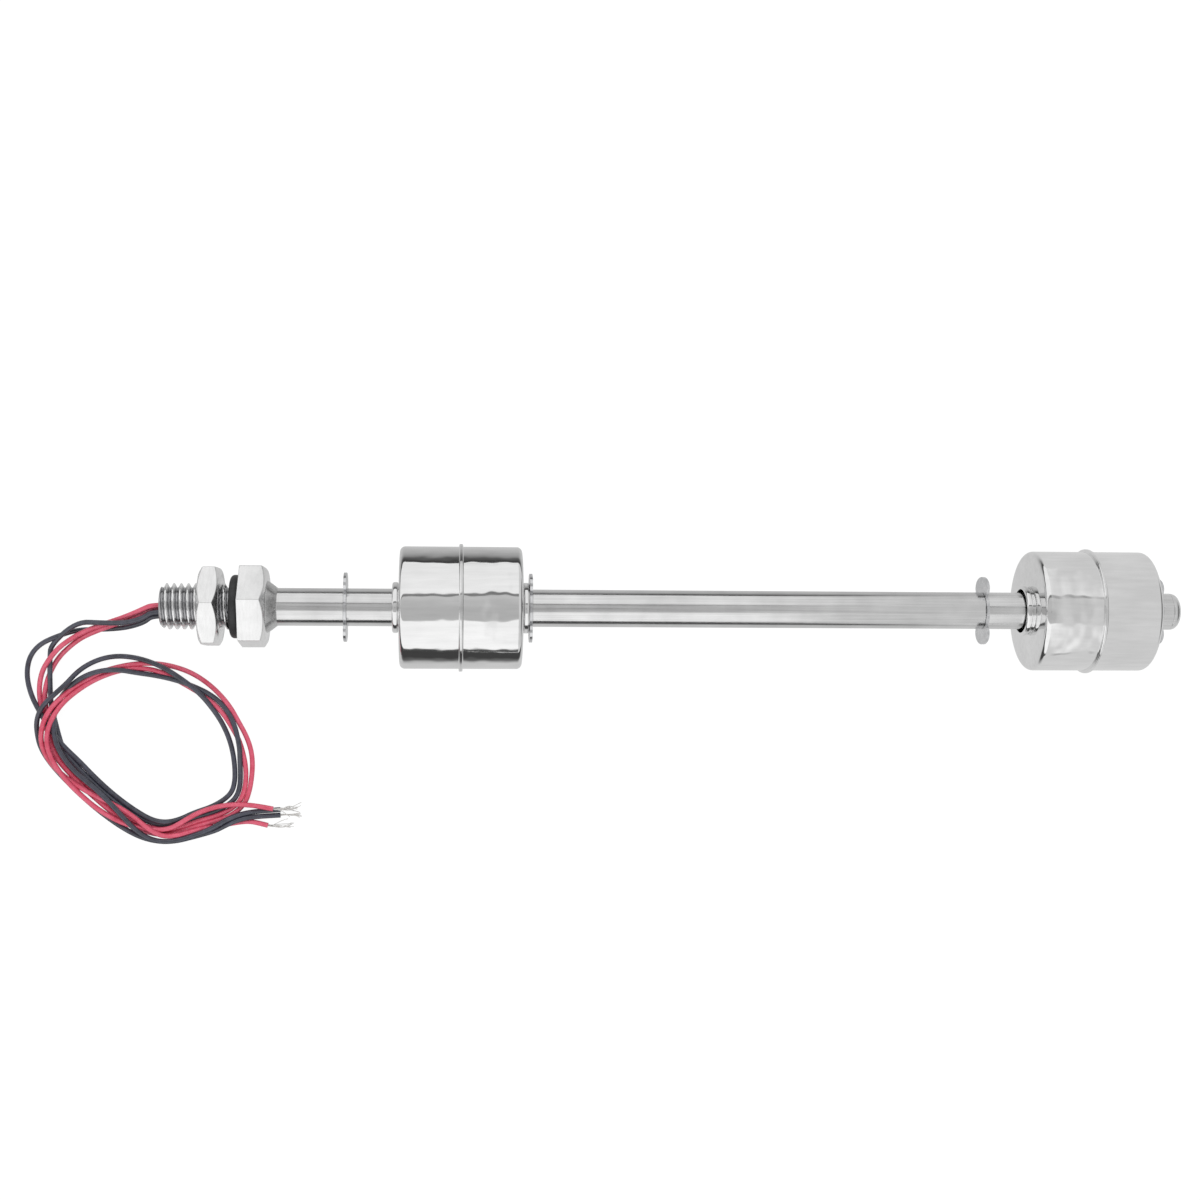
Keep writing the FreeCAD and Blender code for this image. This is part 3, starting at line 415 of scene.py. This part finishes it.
def new_tree(name, sizes):
    """A geometry tree with named sizes, a material and a mesh out."""
    tree = bpy.data.node_groups.new(name, "GeometryNodeTree")
    tree.interface.new_socket("Geometry", in_out="INPUT", socket_type="NodeSocketGeometry")
    for size in sizes:
        tree.interface.new_socket(size, in_out="INPUT", socket_type="NodeSocketFloat")
    tree.interface.new_socket("Material", in_out="INPUT", socket_type="NodeSocketMaterial")
    tree.interface.new_socket("Geometry", in_out="OUTPUT", socket_type="NodeSocketGeometry")
    return tree, tree.nodes.new("NodeGroupInput").outputs, tree.nodes.new("NodeGroupOutput")


def mesh_from_tree(name, base, tree, values):
    """Runs a geometry tree on a mesh and returns the plain mesh that comes out."""
    carrier = bpy.data.objects.new(name + "_form", base)
    bpy.context.scene.collection.objects.link(carrier)
    modifier = carrier.modifiers.new("form", "NODES")
    modifier.node_group = tree
    for item in tree.interface.items_tree:
        if item.in_out == "INPUT" and item.name in values:
            modifier[item.identifier] = values[item.name]
    graph = bpy.context.evaluated_depsgraph_get()
    mesh = bpy.data.meshes.new_from_object(carrier.evaluated_get(graph))
    carrier.modifiers.remove(modifier)
    bpy.data.objects.remove(carrier)
    mesh.name = name
    return mesh


def strand_tree():
    """Gives every strand line a round section."""
    tree, given, out = new_tree("strand_skin", ["Strand radius"])
    lines = add(tree, "GeometryNodeMeshToCurve", {"Mesh": given["Geometry"]})
    soft = add(tree, "GeometryNodeCurveSplineType", {"Curve": lines.outputs["Curve"]},
               spline_type="CATMULL_ROM")
    fine = add(tree, "GeometryNodeSetSplineResolution",
               {"Geometry": soft.outputs["Curve"], "Resolution": STRAND_CURVE_STEPS})
    section = add(tree, "GeometryNodeCurvePrimitiveCircle",
                  {"Resolution": STRAND_SIDES, "Radius": given["Strand radius"]})
    skin = add(tree, "GeometryNodeCurveToMesh",
               {"Curve": fine.outputs["Geometry"], "Profile Curve": section.outputs["Curve"],
                "Fill Caps": True})
    plain = add(tree, "GeometryNodeRealizeInstances", {"Geometry": skin.outputs["Mesh"]})
    dressed = add(tree, "GeometryNodeSetMaterial",
                  {"Geometry": plain.outputs["Geometry"], "Material": given["Material"]})
    tree.links.new(dressed.outputs["Geometry"], out.inputs["Geometry"])
    return tree


def strand_lines(end, before, far, draw):
    """Lines of the strands: packed at the cut insulation, curling apart towards their tips."""
    heading = (end - before).normalized()
    side = heading.cross(Vector((0, 0, 1))).normalized()
    lift = side.cross(heading)
    verts, edges = [], []
    for number in range(STRANDS_PER_LEAD):
        angle = 2 * math.pi * number / STRANDS_PER_LEAD
        pack = STRAND_PACK_RADIUS * MM * (1 if number else 0)
        root = side * math.cos(angle) * pack + lift * math.sin(angle) * pack
        share = draw.uniform(*STRAND_LENGTH_SHARE)
        drift = Vector((0, draw.uniform(-1, 1), draw.uniform(*STRAND_DRIFT_UP))) * STRAND_SPREAD * MM
        curl = Vector((0, draw.uniform(-1, 1), draw.uniform(*STRAND_CURL_UP)))
        curl = curl * STRAND_SPREAD * STRAND_CURL * MM
        bend = draw.uniform(*STRAND_HALF_WAVES)
        for step in range(STRAND_STEPS + 1):
            t = step / STRAND_STEPS
            along = (end - heading * STRAND_OVERLAP * MM).lerp(far, t * share)
            straight = end + heading * (far - end).length * t * share
            middle = straight.lerp(along, t)
            place = middle + root * (1 - t) + drift * t ** 1.5 + curl * math.sin(math.pi * bend * t) * t
            place.z = max(place.z, (STRAND_RADIUS + FLOOR_GAP) * MM)
            verts.append(place)
            if step:
                edges.append((len(verts) - 2, len(verts) - 1))
    base = bpy.data.meshes.new("strand_lines")
    base.from_pydata(verts, edges, [])
    return base


def make_leads():
    """Four free leads, each with its fan of bared strands."""
    tree = strand_tree()
    draw = random.Random(STRAND_SEED)
    for name, way in LEADS.items():
        red = name.startswith("red")
        route = lead_route(way)
        lead = lead_curve(name + "_cord", route, extruded_red_pvc if red else extruded_black_pvc)
        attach(lead, "stem_assembly")
        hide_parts(name)
        base = strand_lines(route[-1], route[-2], floor_point(way[3][1]), draw)
        mesh = mesh_from_tree(name + "_strand_fan", base, tree,
                              {"Strand radius": STRAND_RADIUS * MM, "Material": tinned_copper})
        smooth(mesh)
        fan = finished(name + "_strand_fan", mesh, tinned_copper, "stem_assembly",
                       [name + "_strands"])


def smooth(mesh, crease=CREASE_ANGLE):
    """Smooth shading with the corners sharper than crease, in degrees, kept crisp."""
    mesh.shade_smooth()
    mesh.set_sharp_from_angle(angle=math.radians(crease))


make_leads()


def rounded(outline, steps=7):
    """An outline of (x, radius[, corner radius]) with its corners rounded."""
    done = []
    count = len(outline)
    for index, spot in enumerate(outline):
        here = Vector(spot[:2])
        if len(spot) == 2:
            done.append(here)
            continue
        back = (Vector(outline[index - 1][:2]) - here).normalized()
        on = (Vector(outline[(index + 1) % count][:2]) - here).normalized()
        half = back.angle(on) / 2
        reach = spot[2] / math.tan(half)
        start = here + back * reach
        end = here + on * reach
        centre = here + (back + on).normalized() * (spot[2] / math.sin(half))
        a, b = start - centre, end - centre
        sweep = a.angle(b)
        for step in range(steps + 1):
            share = step / steps
            arm = (a * math.sin((1 - share) * sweep) + b * math.sin(share * sweep)) / math.sin(sweep)
            done.append(centre + arm)
    return done


def turned_mesh(name, outline, around=144):
    """A closed turned solid from an outline of (x, radius[, corner radius]) in millimetres."""
    work = bmesh.new()
    rings = []
    for x, radius in rounded(outline):
        if radius < 1e-6:
            rings.append([work.verts.new(point(x))])
            continue
        ring = []
        for step in range(around):
            angle = 2 * math.pi * step / around
            ring.append(work.verts.new(point(x, radius * math.sin(angle), radius * math.cos(angle))))
        rings.append(ring)
    for one, two in zip(rings, rings[1:] + rings[:1]):
        if len(one) == 1 and len(two) == 1:
            continue
        for step in range(around):
            after = (step + 1) % around
            corners = [one[step % len(one)], one[after % len(one)],
                       two[after % len(two)], two[step % len(two)]]
            face = []
            for corner in corners:
                if corner not in face:
                    face.append(corner)
            work.faces.new(face)
    bmesh.ops.recalc_face_normals(work, faces=work.faces)
    mesh = bpy.data.meshes.new(name)
    work.to_mesh(mesh)
    work.free()
    smooth(mesh)
    return mesh


# A solid's mesh is merged where it is flatter than the first angle and bevelled past the second, in degrees
FLAT_ANGLE = 0.8
EDGE_ANGLE = 32
BEVEL_SEGMENTS = 3


def softened_copy(name, node, bevel, cut_before=None):
    """A solid's own shape with its sharp edges broken; cut_before drops what lies before that x."""
    work = bmesh.new()
    work.from_mesh(nodes[node].data)
    bmesh.ops.remove_doubles(work, verts=work.verts, dist=MERGE_DISTANCE)
    if cut_before is not None:
        everything = list(work.verts) + list(work.edges) + list(work.faces)
        bmesh.ops.bisect_plane(work, geom=everything, plane_co=point(cut_before), plane_no=(1, 0, 0),
                               clear_inner=True)
        bmesh.ops.bridge_loops(work, edges=[edge for edge in work.edges if edge.is_boundary])
    bmesh.ops.dissolve_limit(work, angle_limit=math.radians(FLAT_ANGLE), verts=work.verts, edges=work.edges)
    bmesh.ops.recalc_face_normals(work, faces=work.faces)
    mesh = bpy.data.meshes.new(name + "_form")
    work.to_mesh(mesh)
    work.free()
    mesh.materials.clear()
    carrier = bpy.data.objects.new(name + "_form", mesh)
    bpy.context.scene.collection.objects.link(carrier)
    smooth(mesh)
    soften = carrier.modifiers.new("soften", "BEVEL")
    soften.width = bevel * MM
    soften.segments = BEVEL_SEGMENTS
    soften.limit_method = "ANGLE"
    soften.angle_limit = math.radians(EDGE_ANGLE)
    soften.harden_normals = True
    graph = bpy.context.evaluated_depsgraph_get()
    made = bpy.data.meshes.new_from_object(carrier.evaluated_get(graph))
    made.name = name
    bpy.data.objects.remove(carrier)
    return made


# Stud thread: M10 x 1.5, cut from the stud's end to the relief inside the seal. The flank's start and
# end are counted in pitches from the middle of a crest.
THREAD_PITCH = 1.5
THREAD_DEPTH = 0.92
THREAD_RADIUS = 4.875
THREAD_END_CHAMFER = 0.85
THREAD_FLANK_START = 0.07
THREAD_FLANK_END = 0.4
RELIEF_RADIUS = 4.025
RELIEF_LENGTH = 1.5
STUD_BORE_RADIUS = 3.0
STUD_JOIN = 0.3
THREAD_AROUND = 120
THREAD_ALONG = 190


def thread_tree():
    """A cylinder's skin cut to a helical vee thread, chamfered at its start and turned down at its end."""
    sizes = ["Pitch", "Depth", "Radius", "Start", "Length", "Chamfer", "Relief radius", "Relief length",
             "Axis height"]
    tree, given, out = new_tree("cut_thread", sizes)

    grid = add(tree, "GeometryNodeMeshGrid", {"Size X": 1.0, "Size Y": 1.0, "Vertices X": THREAD_AROUND + 1,
                                              "Vertices Y": THREAD_ALONG + 1})
    flat = add(tree, "GeometryNodeInputPosition")
    parts = add(tree, "ShaderNodeSeparateXYZ", {0: flat.outputs[0]})
    turn = math_node(tree, "ADD", parts.outputs[0], 0.5)
    distance = math_node(tree, "MULTIPLY", math_node(tree, "ADD", parts.outputs[1], 0.5), given["Length"])
    phase = math_node(tree, "ADD", math_node(tree, "DIVIDE", distance, given["Pitch"]), turn)
    flank = math_node(tree, "PINGPONG", phase, 0.5)
    root = math_node(tree, "SUBTRACT", given["Radius"], given["Depth"])
    cut = add(tree, "ShaderNodeMapRange",
              {"Value": flank, "From Min": THREAD_FLANK_START, "From Max": THREAD_FLANK_END,
               "To Min": given["Radius"], "To Max": root})
    nose = math_node(tree, "SUBTRACT", given["Radius"], given["Chamfer"])
    bevelled = math_node(tree, "ADD", nose, distance)
    threaded = math_node(tree, "SUBTRACT", given["Length"], given["Relief length"])
    left = math_node(tree, "SUBTRACT", threaded, distance)
    relieved = math_node(tree, "ADD", given["Relief radius"], math_node(tree, "MAXIMUM", left, 0.0))
    radius = math_node(tree, "MINIMUM", math_node(tree, "MINIMUM", cut.outputs[0], bevelled), relieved)
    angle = math_node(tree, "MULTIPLY", turn, 2 * math.pi)
    across = math_node(tree, "MULTIPLY", radius, math_node(tree, "SINE", angle))
    above = math_node(tree, "MULTIPLY", radius, math_node(tree, "COSINE", angle))
    place = add(tree, "ShaderNodeCombineXYZ", {0: math_node(tree, "ADD", given["Start"], distance), 1: across,
                                               2: math_node(tree, "ADD", given["Axis height"], above)})
    shaped = add(tree, "GeometryNodeSetPosition",
                 {"Geometry": grid.outputs["Mesh"], "Position": place.outputs[0]})
    closed = add(tree, "GeometryNodeMergeByDistance",
                 {"Geometry": shaped.outputs["Geometry"], "Distance": MERGE_DISTANCE})
    plain = add(tree, "GeometryNodeRealizeInstances", {"Geometry": closed.outputs["Geometry"]})
    dressed = add(tree, "GeometryNodeSetMaterial",
                  {"Geometry": plain.outputs["Geometry"], "Material": given["Material"]})
    tree.links.new(dressed.outputs["Geometry"], out.inputs["Geometry"])
    return tree


def make_stud():
    """The threaded stud: cut skin, end faces and bore as one closed wall."""
    length = FACE_X - STUD_JOIN - STUD_END_X
    values = {"Pitch": THREAD_PITCH, "Depth": THREAD_DEPTH, "Radius": THREAD_RADIUS, "Start": STUD_END_X,
              "Length": length, "Chamfer": THREAD_END_CHAMFER, "Relief radius": RELIEF_RADIUS,
              "Relief length": RELIEF_LENGTH - STUD_JOIN, "Axis height": AXIS_Z}
    values = {name: size * MM for name, size in values.items()}
    values["Material"] = threaded_stainless_root_shade
    base = bpy.data.meshes.new("stud_blank")
    mesh = mesh_from_tree("threaded_stud", base, thread_tree(), values)
    work = bmesh.new()
    work.from_mesh(mesh)
    rim = [vert for vert in work.verts if vert.is_boundary]
    bores = []
    for x in (STUD_END_X, STUD_END_X + length):
        ring = [vert for vert in rim if abs(vert.co.x - x * MM) < 1e-6]
        ring.sort(key=lambda vert: math.atan2(vert.co.y, vert.co.z - AXIS_Z * MM))
        inner = []
        for vert in ring:
            outward = Vector((0, vert.co.y, vert.co.z - AXIS_Z * MM)).normalized() * STUD_BORE_RADIUS
            inner.append(work.verts.new(point(x, outward.y, outward.z)))
        for step in range(len(ring)):
            after = (step + 1) % len(ring)
            work.faces.new((ring[step], ring[after], inner[after], inner[step]))
        bores.append(inner)
    for step in range(len(bores[0])):
        after = (step + 1) % len(bores[0])
        work.faces.new((bores[0][step], bores[0][after], bores[1][after], bores[1][step]))
    bmesh.ops.recalc_face_normals(work, faces=work.faces)
    work.to_mesh(mesh)
    work.free()
    smooth(mesh, THREAD_CREASE_ANGLE)
    finished("threaded_stud", mesh, threaded_stainless_root_shade, "stem_assembly", ["mounting_fitting"])


# Head: the hexagon stands turned about the stem, and the weld covers its boss. SUNK is how far the weld
# reaches into the hexagon, and the room between seal and thread. WELD_SKIN is how far it laps over the tube.
HEAD_TURN = math.radians(10)
HEX_BEVEL = 0.34
BOSS_LENGTH = 1.3
WELD_RADIUS = 5.6
WELD_WAIST_RADIUS = 4.8
WELD_WAIST_FROM_HEX = 1.1
WELD_PAST_BOSS = 0.8
WELD_SKIN = 0.02
WELD_RUN_OUT = 0.2
WELD_TOP_CORNER = 0.1
WELD_WAIST_CORNER = 0.9
WELD_TOE_CORNER = 0.4
SEAL_CORNER = 0.82
SUNK = 0.05


def make_head():
    """Stud, hexagon with its weld bead, lock nut and seal."""
    make_stud()
    head = softened_copy("hexagon_head", "mounting_fitting", HEX_BEVEL, FACE_X - STUD_JOIN)
    turn = Matrix.Rotation(HEAD_TURN, 4, "X")
    head.transform(Matrix.Translation(point(0)) @ turn @ Matrix.Translation(-point(0)))
    finished("hexagon_head", head, machined_stainless, "stem_assembly", ["mounting_fitting"])
    nut = softened_copy("lock_nut_body", "lock_nut", HEX_BEVEL)
    finished("lock_nut_body", nut, machined_stainless, "lock_nut", ["lock_nut"])
    tube = (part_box("stem_tube")[1][1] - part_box("stem_tube")[0][1]) / MM / 2
    hexagon_end = BOSS_END_X - BOSS_LENGTH
    bead = turned_mesh("weld_bead", [
        (hexagon_end - SUNK, tube - WELD_SKIN), (hexagon_end - SUNK, WELD_RADIUS, WELD_TOP_CORNER),
        (hexagon_end + WELD_WAIST_FROM_HEX, WELD_WAIST_RADIUS, WELD_WAIST_CORNER),
        (BOSS_END_X + WELD_PAST_BOSS, tube + WELD_SKIN, WELD_TOE_CORNER),
        (BOSS_END_X + WELD_PAST_BOSS + WELD_RUN_OUT, tube - WELD_SKIN)])
    finished("weld_bead", bead, weld_bead_steel, "stem_assembly")
    seal = (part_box("seal_ring")[1][1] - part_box("seal_ring")[0][1]) / MM / 2
    ring = turned_mesh("seal_body", [
        (SEAL_X, THREAD_RADIUS + SUNK), (SEAL_X, seal, SEAL_CORNER), (FACE_X, seal, SEAL_CORNER),
        (FACE_X, THREAD_RADIUS + SUNK)])
    finished("seal_body", ring, moulded_nitrile, "stem_assembly", ["seal_ring"])


# Stem
TUBE_WALL = 0.6
TUBE_EDGE = 0.08
GROOVE_RADIUS = 3.6
GROOVE_GAP = 0.05
GROOVE_EDGE = 0.04
PLUG_SPIGOT_RADIUS = 3.37
PLUG_SPIGOT_LENGTH = 2.2
PLUG_EDGE = 0.12
PLUG_CORNER = 1.6
CLIP_BEVEL = 0.13
CLIPS = ["upper_float_top_clip", "upper_float_bottom_clip", "lower_float_top_clip", "lower_float_bottom_clip"]


def make_stem():
    """Tube with its clip grooves, welded plug and stop clips."""
    radius = (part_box("stem_tube")[1][1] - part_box("stem_tube")[0][1]) / MM / 2
    outline = [(TUBE_START_X, radius - TUBE_WALL), (TUBE_START_X, radius)]
    for name in CLIPS:
        low, high = (corner[0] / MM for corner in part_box(name))
        outline += [(low - GROOVE_GAP, radius, GROOVE_EDGE), (low - GROOVE_GAP, GROOVE_RADIUS)]
        outline += [(high + GROOVE_GAP, GROOVE_RADIUS), (high + GROOVE_GAP, radius, GROOVE_EDGE)]
    outline += [(TUBE_END_X, radius, TUBE_EDGE), (TUBE_END_X, radius - TUBE_WALL)]
    finished("drawn_tube", turned_mesh("drawn_tube", outline), drawn_stainless, "stem_assembly",
             ["stem_tube"])
    plug = [(TUBE_END_X - PLUG_SPIGOT_LENGTH, 0), (TUBE_END_X - PLUG_SPIGOT_LENGTH, PLUG_SPIGOT_RADIUS),
            (TUBE_END_X, PLUG_SPIGOT_RADIUS), (TUBE_END_X, radius, PLUG_EDGE),
            (TIP_X, radius, PLUG_CORNER), (TIP_X, 0)]
    finished("tip_plug", turned_mesh("tip_plug", plug), drawn_stainless, "stem_assembly",
             ["end_plug"])
    for name in CLIPS:
        clip = softened_copy(name + "_body", name, CLIP_BEVEL)
        finished(name + "_body", clip, stamped_spring_steel, "stem_assembly", [name])


# Floats
SHELL_WALL = 0.3
FLOAT_RADIUS = 13.0
RIM_RADIUS = 13.6
RIM_HALF_WIDTH = 0.4
RIM_SEAM_CORNER = 0.06
RIM_CORNER = 0.26
RIM_ROOT = 0.12
FLOAT_CORNER = 1.1
SHELL_BORE = 5.07
SHELL_BORE_EDGE = 0.08
SLEEVE_BORE = 4.75
SLEEVE_EDGE = 0.12
COLLAR_RADIUS = 5.4
COLLAR_LENGTH = 1.2
COLLAR_END_CORNER = 0.46
COLLAR_BACK_CORNER = 0.4
COLLAR_SLOPE = 0.1
SHELL_FACES_AROUND = 192


def make_float(name):
    """Two drawn shells joined at a rim, on a sleeve with rolled collars."""
    for side, half in ((-1, "top"), (1, "bottom")):
        low, high = (corner[0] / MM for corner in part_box("%s_%s_shell" % (name, half)))
        middle, end = (high, low) if side < 0 else (low, high)
        lip = middle + side * RIM_HALF_WIDTH
        inside = end - side * SHELL_WALL
        outline = [
            (middle, FLOAT_RADIUS - SHELL_WALL), (middle, RIM_RADIUS, RIM_SEAM_CORNER),
            (lip, RIM_RADIUS, RIM_CORNER), (lip, FLOAT_RADIUS, RIM_ROOT), (end, FLOAT_RADIUS, FLOAT_CORNER),
            (end, SHELL_BORE, SHELL_BORE_EDGE), (inside, SHELL_BORE),
            (inside, FLOAT_RADIUS - SHELL_WALL, FLOAT_CORNER - SHELL_WALL)]
        shell = turned_mesh("%s_%s_cup" % (name, half), outline, SHELL_FACES_AROUND)
        finished("%s_%s_cup" % (name, half), shell, polished_stainless, name,
                 ["%s_%s_shell" % (name, half)])
    low, high = (corner[0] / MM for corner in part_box(name + "_sleeve"))
    tube = SLEEVE_BORE + SHELL_WALL
    outline = [
        (low, SLEEVE_BORE, SLEEVE_EDGE), (low, COLLAR_RADIUS, COLLAR_END_CORNER),
        (low + COLLAR_LENGTH, COLLAR_RADIUS, COLLAR_BACK_CORNER), (low + COLLAR_LENGTH + COLLAR_SLOPE, tube),
        (high - COLLAR_LENGTH - COLLAR_SLOPE, tube),
        (high - COLLAR_LENGTH, COLLAR_RADIUS, COLLAR_BACK_CORNER),
        (high, COLLAR_RADIUS, COLLAR_END_CORNER), (high, SLEEVE_BORE, SLEEVE_EDGE)]
    finished(name + "_guide", turned_mesh(name + "_guide", outline), polished_stainless, name,
             [name + "_sleeve"])


make_head()
make_stem()
make_float("upper_float")
make_float("lower_float")

# Solids that stay as they are, each in its own finish
KEPT = {
    "potting_plug": cast_epoxy, "reed_board": fibre_laminate,
    "upper_reed_glass": capsule_glass, "lower_reed_glass": capsule_glass,
    "upper_reed_blades": reed_alloy, "lower_reed_blades": reed_alloy,
    "upper_reed_wires": extruded_white_pvc, "lower_reed_wires": extruded_white_pvc,
    "upper_float_magnet_holder": moulded_nylon, "lower_float_magnet_holder": moulded_nylon,
    "upper_float_magnet": sintered_ferrite, "lower_float_magnet": sintered_ferrite,
}
for node_name, finish in KEPT.items():
    nodes[node_name].data.materials.clear()
    nodes[node_name].data.materials.append(finish)

# Studio: white table and walls, with darker strips that only mirrors show. A strip is (place, level);
# on the table its place is a distance across the stem in millimetres, on the walls an angle in
# degrees about the stem from straight up towards +Y.
FLOOR_SIZE = 6.0
FLOOR_REACH = 400.0
FLOOR_STRIPS = [(-400, 0.06), (-75, 0.06), (-52, 0.16), (-43, 0.45), (-36, 0.64), (0, 0.66), (6, 0.6),
                (22, 0.58), (40, 0.42), (75, 0.12), (130, 0.06), (270, 0.06), (300, 0.92), (400, 0.92)]
FLOOR_EVEN = 0.7
FLOOR_FADE = (0.055, 0.09)
FLOOR_GLOW = 0.93
FLOOR_SHADOW_GREY = 0.12
FLOOR_BOUNCE_GREY = 0.8
WALL_STRIPS = [(-180, 0.7), (-89, 0.07), (-86, 0.08), (-84, 1.08), (-24, 1.06), (-22, 0.52), (-3, 0.5),
               (21, 0.6), (22.5, 0.22), (27, 0.22), (28.5, 0.96), (96, 0.92), (180, 0.7)]
WALL_EVEN = 0.7
WALL_FADE = (0.16, 0.27)
FAR_WALL_LEVEL = 0.16
FAR_WALL_FADE = (0.7, 0.92)
LENS_HALF_ANGLE = 2.2
LENS_REACH = (-0.03, 0.045)
LENS_LEVEL = 0.2
WALL_LEVEL = 0.62
LAMP_SIZE = 0.5
LAMPS = [((-0.25, 0.42, 0.62), 2.6), ((0.3, -0.42, 0.62), 2.2)]


def grey(level):
    """An even grey of the given level."""
    return level, level, level, 1


def strips(tree, place, stops, low, high):
    """Bands of grey along a value that runs from low to high."""
    share = add(tree, "ShaderNodeMapRange", {"Value": place, "From Min": low, "From Max": high})
    made = add(tree, "ShaderNodeValToRGB", {"Fac": share.outputs[0]})
    ramp = made.color_ramp
    for index, (_, level) in enumerate((stops[0], stops[-1])):
        ramp.elements[index].color = grey(level)
    for spot, level in stops[1:-1]:
        ramp.elements.new((spot - stops[0][0]) / (stops[-1][0] - stops[0][0])).color = grey(level)
    return made.outputs[0]


def evened(tree, bands, x, fade, level):
    """The bands die away to one even level as x grows."""
    past = add(tree, "ShaderNodeMapRange", {"Value": x, "From Min": fade[0], "From Max": fade[1]})
    mixed = add(tree, "ShaderNodeMix", {0: past.outputs[0], 6: bands, 7: grey(level)}, data_type="RGBA")
    return mixed.outputs[2]


def make_floor():
    """The table: white to the eye, and striped where the polished steel mirrors it."""
    made, tree, output = blank_material("white_table")
    path = add(tree, "ShaderNodeLightPath").outputs
    seen = math_node(tree, "MAXIMUM", path["Is Camera Ray"], path["Is Transmission Ray"])
    plain = add(tree, "ShaderNodeBsdfDiffuse", {"Color": grey(FLOOR_BOUNCE_GREY)}).outputs[0]
    glow = add(tree, "ShaderNodeEmission", {"Color": grey(1), "Strength": FLOOR_GLOW}).outputs[0]
    faint = add(tree, "ShaderNodeBsdfDiffuse", {"Color": grey(FLOOR_SHADOW_GREY)}).outputs[0]
    white = add(tree, "ShaderNodeAddShader", {0: glow, 1: faint}).outputs[0]
    place = add(tree, "ShaderNodeSeparateXYZ", {0: add(tree, "ShaderNodeTexCoord").outputs["Object"]})
    bands = strips(tree, place.outputs[1], FLOOR_STRIPS, -FLOOR_REACH * MM, FLOOR_REACH * MM)
    even = evened(tree, bands, place.outputs[0], FLOOR_FADE, FLOOR_EVEN)
    mirrored = add(tree, "ShaderNodeEmission", {"Color": even}).outputs[0]
    dull = add(tree, "ShaderNodeMixShader", {0: path["Is Glossy Ray"], 1: plain, 2: mirrored}).outputs[0]
    mixed = add(tree, "ShaderNodeMixShader", {0: seen, 1: dull, 2: white}).outputs[0]
    tree.links.new(mixed, output.inputs["Surface"])
    half = FLOOR_SIZE / 2
    mesh = bpy.data.meshes.new("table_top")
    corners = [(-half, -half, 0), (half, -half, 0), (half, half, 0), (-half, half, 0)]
    mesh.from_pydata(corners, [], [(0, 1, 2, 3)])
    mesh.materials.append(made)
    floor = bpy.data.objects.new("table_top", mesh)
    bpy.context.scene.collection.objects.link(floor)


def make_walls():
    """The world: white to the eye, plain light for colours, and bright and dark bands for mirrors."""
    world = bpy.data.worlds.new("studio")
    bpy.context.scene.world = world
    world.use_nodes = True
    tree = world.node_tree
    tree.nodes.clear()
    output = tree.nodes.new("ShaderNodeOutputWorld")
    path = add(tree, "ShaderNodeLightPath").outputs
    heading = add(tree, "ShaderNodeTexCoord").outputs["Generated"]
    parts = add(tree, "ShaderNodeSeparateXYZ", {0: heading})
    swing = math_node(tree, "ARCTAN2", parts.outputs[1], parts.outputs[2])
    bands = strips(tree, swing, WALL_STRIPS, -math.pi, math.pi)
    off_middle = math_node(tree, "ABSOLUTE", swing)
    narrow = math_node(tree, "LESS_THAN", off_middle, math.radians(LENS_HALF_ANGLE))
    after = math_node(tree, "GREATER_THAN", parts.outputs[0], LENS_REACH[0])
    before = math_node(tree, "LESS_THAN", parts.outputs[0], LENS_REACH[1])
    lens = math_node(tree, "MULTIPLY", narrow, math_node(tree, "MULTIPLY", after, before))
    watched = add(tree, "ShaderNodeMix", {0: lens, 6: bands, 7: grey(LENS_LEVEL)},
                  data_type="RGBA").outputs[2]
    even = evened(tree, watched, parts.outputs[0], WALL_FADE, WALL_EVEN)
    mirrored = evened(tree, even, parts.outputs[0], FAR_WALL_FADE, FAR_WALL_LEVEL)
    seen = math_node(tree, "MAXIMUM", path["Is Camera Ray"], path["Is Transmission Ray"])
    dull = add(tree, "ShaderNodeMix", {0: path["Is Glossy Ray"], 6: grey(WALL_LEVEL), 7: mirrored},
               data_type="RGBA").outputs[2]
    colour = add(tree, "ShaderNodeMix", {0: seen, 6: dull, 7: grey(1)}, data_type="RGBA").outputs[2]
    light = add(tree, "ShaderNodeBackground", {"Color": colour, "Strength": 1.0})
    tree.links.new(light.outputs[0], output.inputs["Surface"])


def make_lamps():
    """Two soft lamps, one each side of the stem; mirrors see the walls in their place."""
    for number, (place, power) in enumerate(LAMPS):
        lamp = bpy.data.lights.new("soft_lamp_%d" % number, "AREA")
        lamp.energy = power
        lamp.size = LAMP_SIZE
        holder = bpy.data.objects.new("soft_lamp_%d" % number, lamp)
        holder.location = place
        holder.rotation_euler = (-Vector(place)).to_track_quat("-Z", "Y").to_euler()
        holder.visible_glossy = False
        bpy.context.scene.collection.objects.link(holder)


make_floor()
make_walls()
make_lamps()
bpy.context.scene.view_settings.view_transform = "Standard"
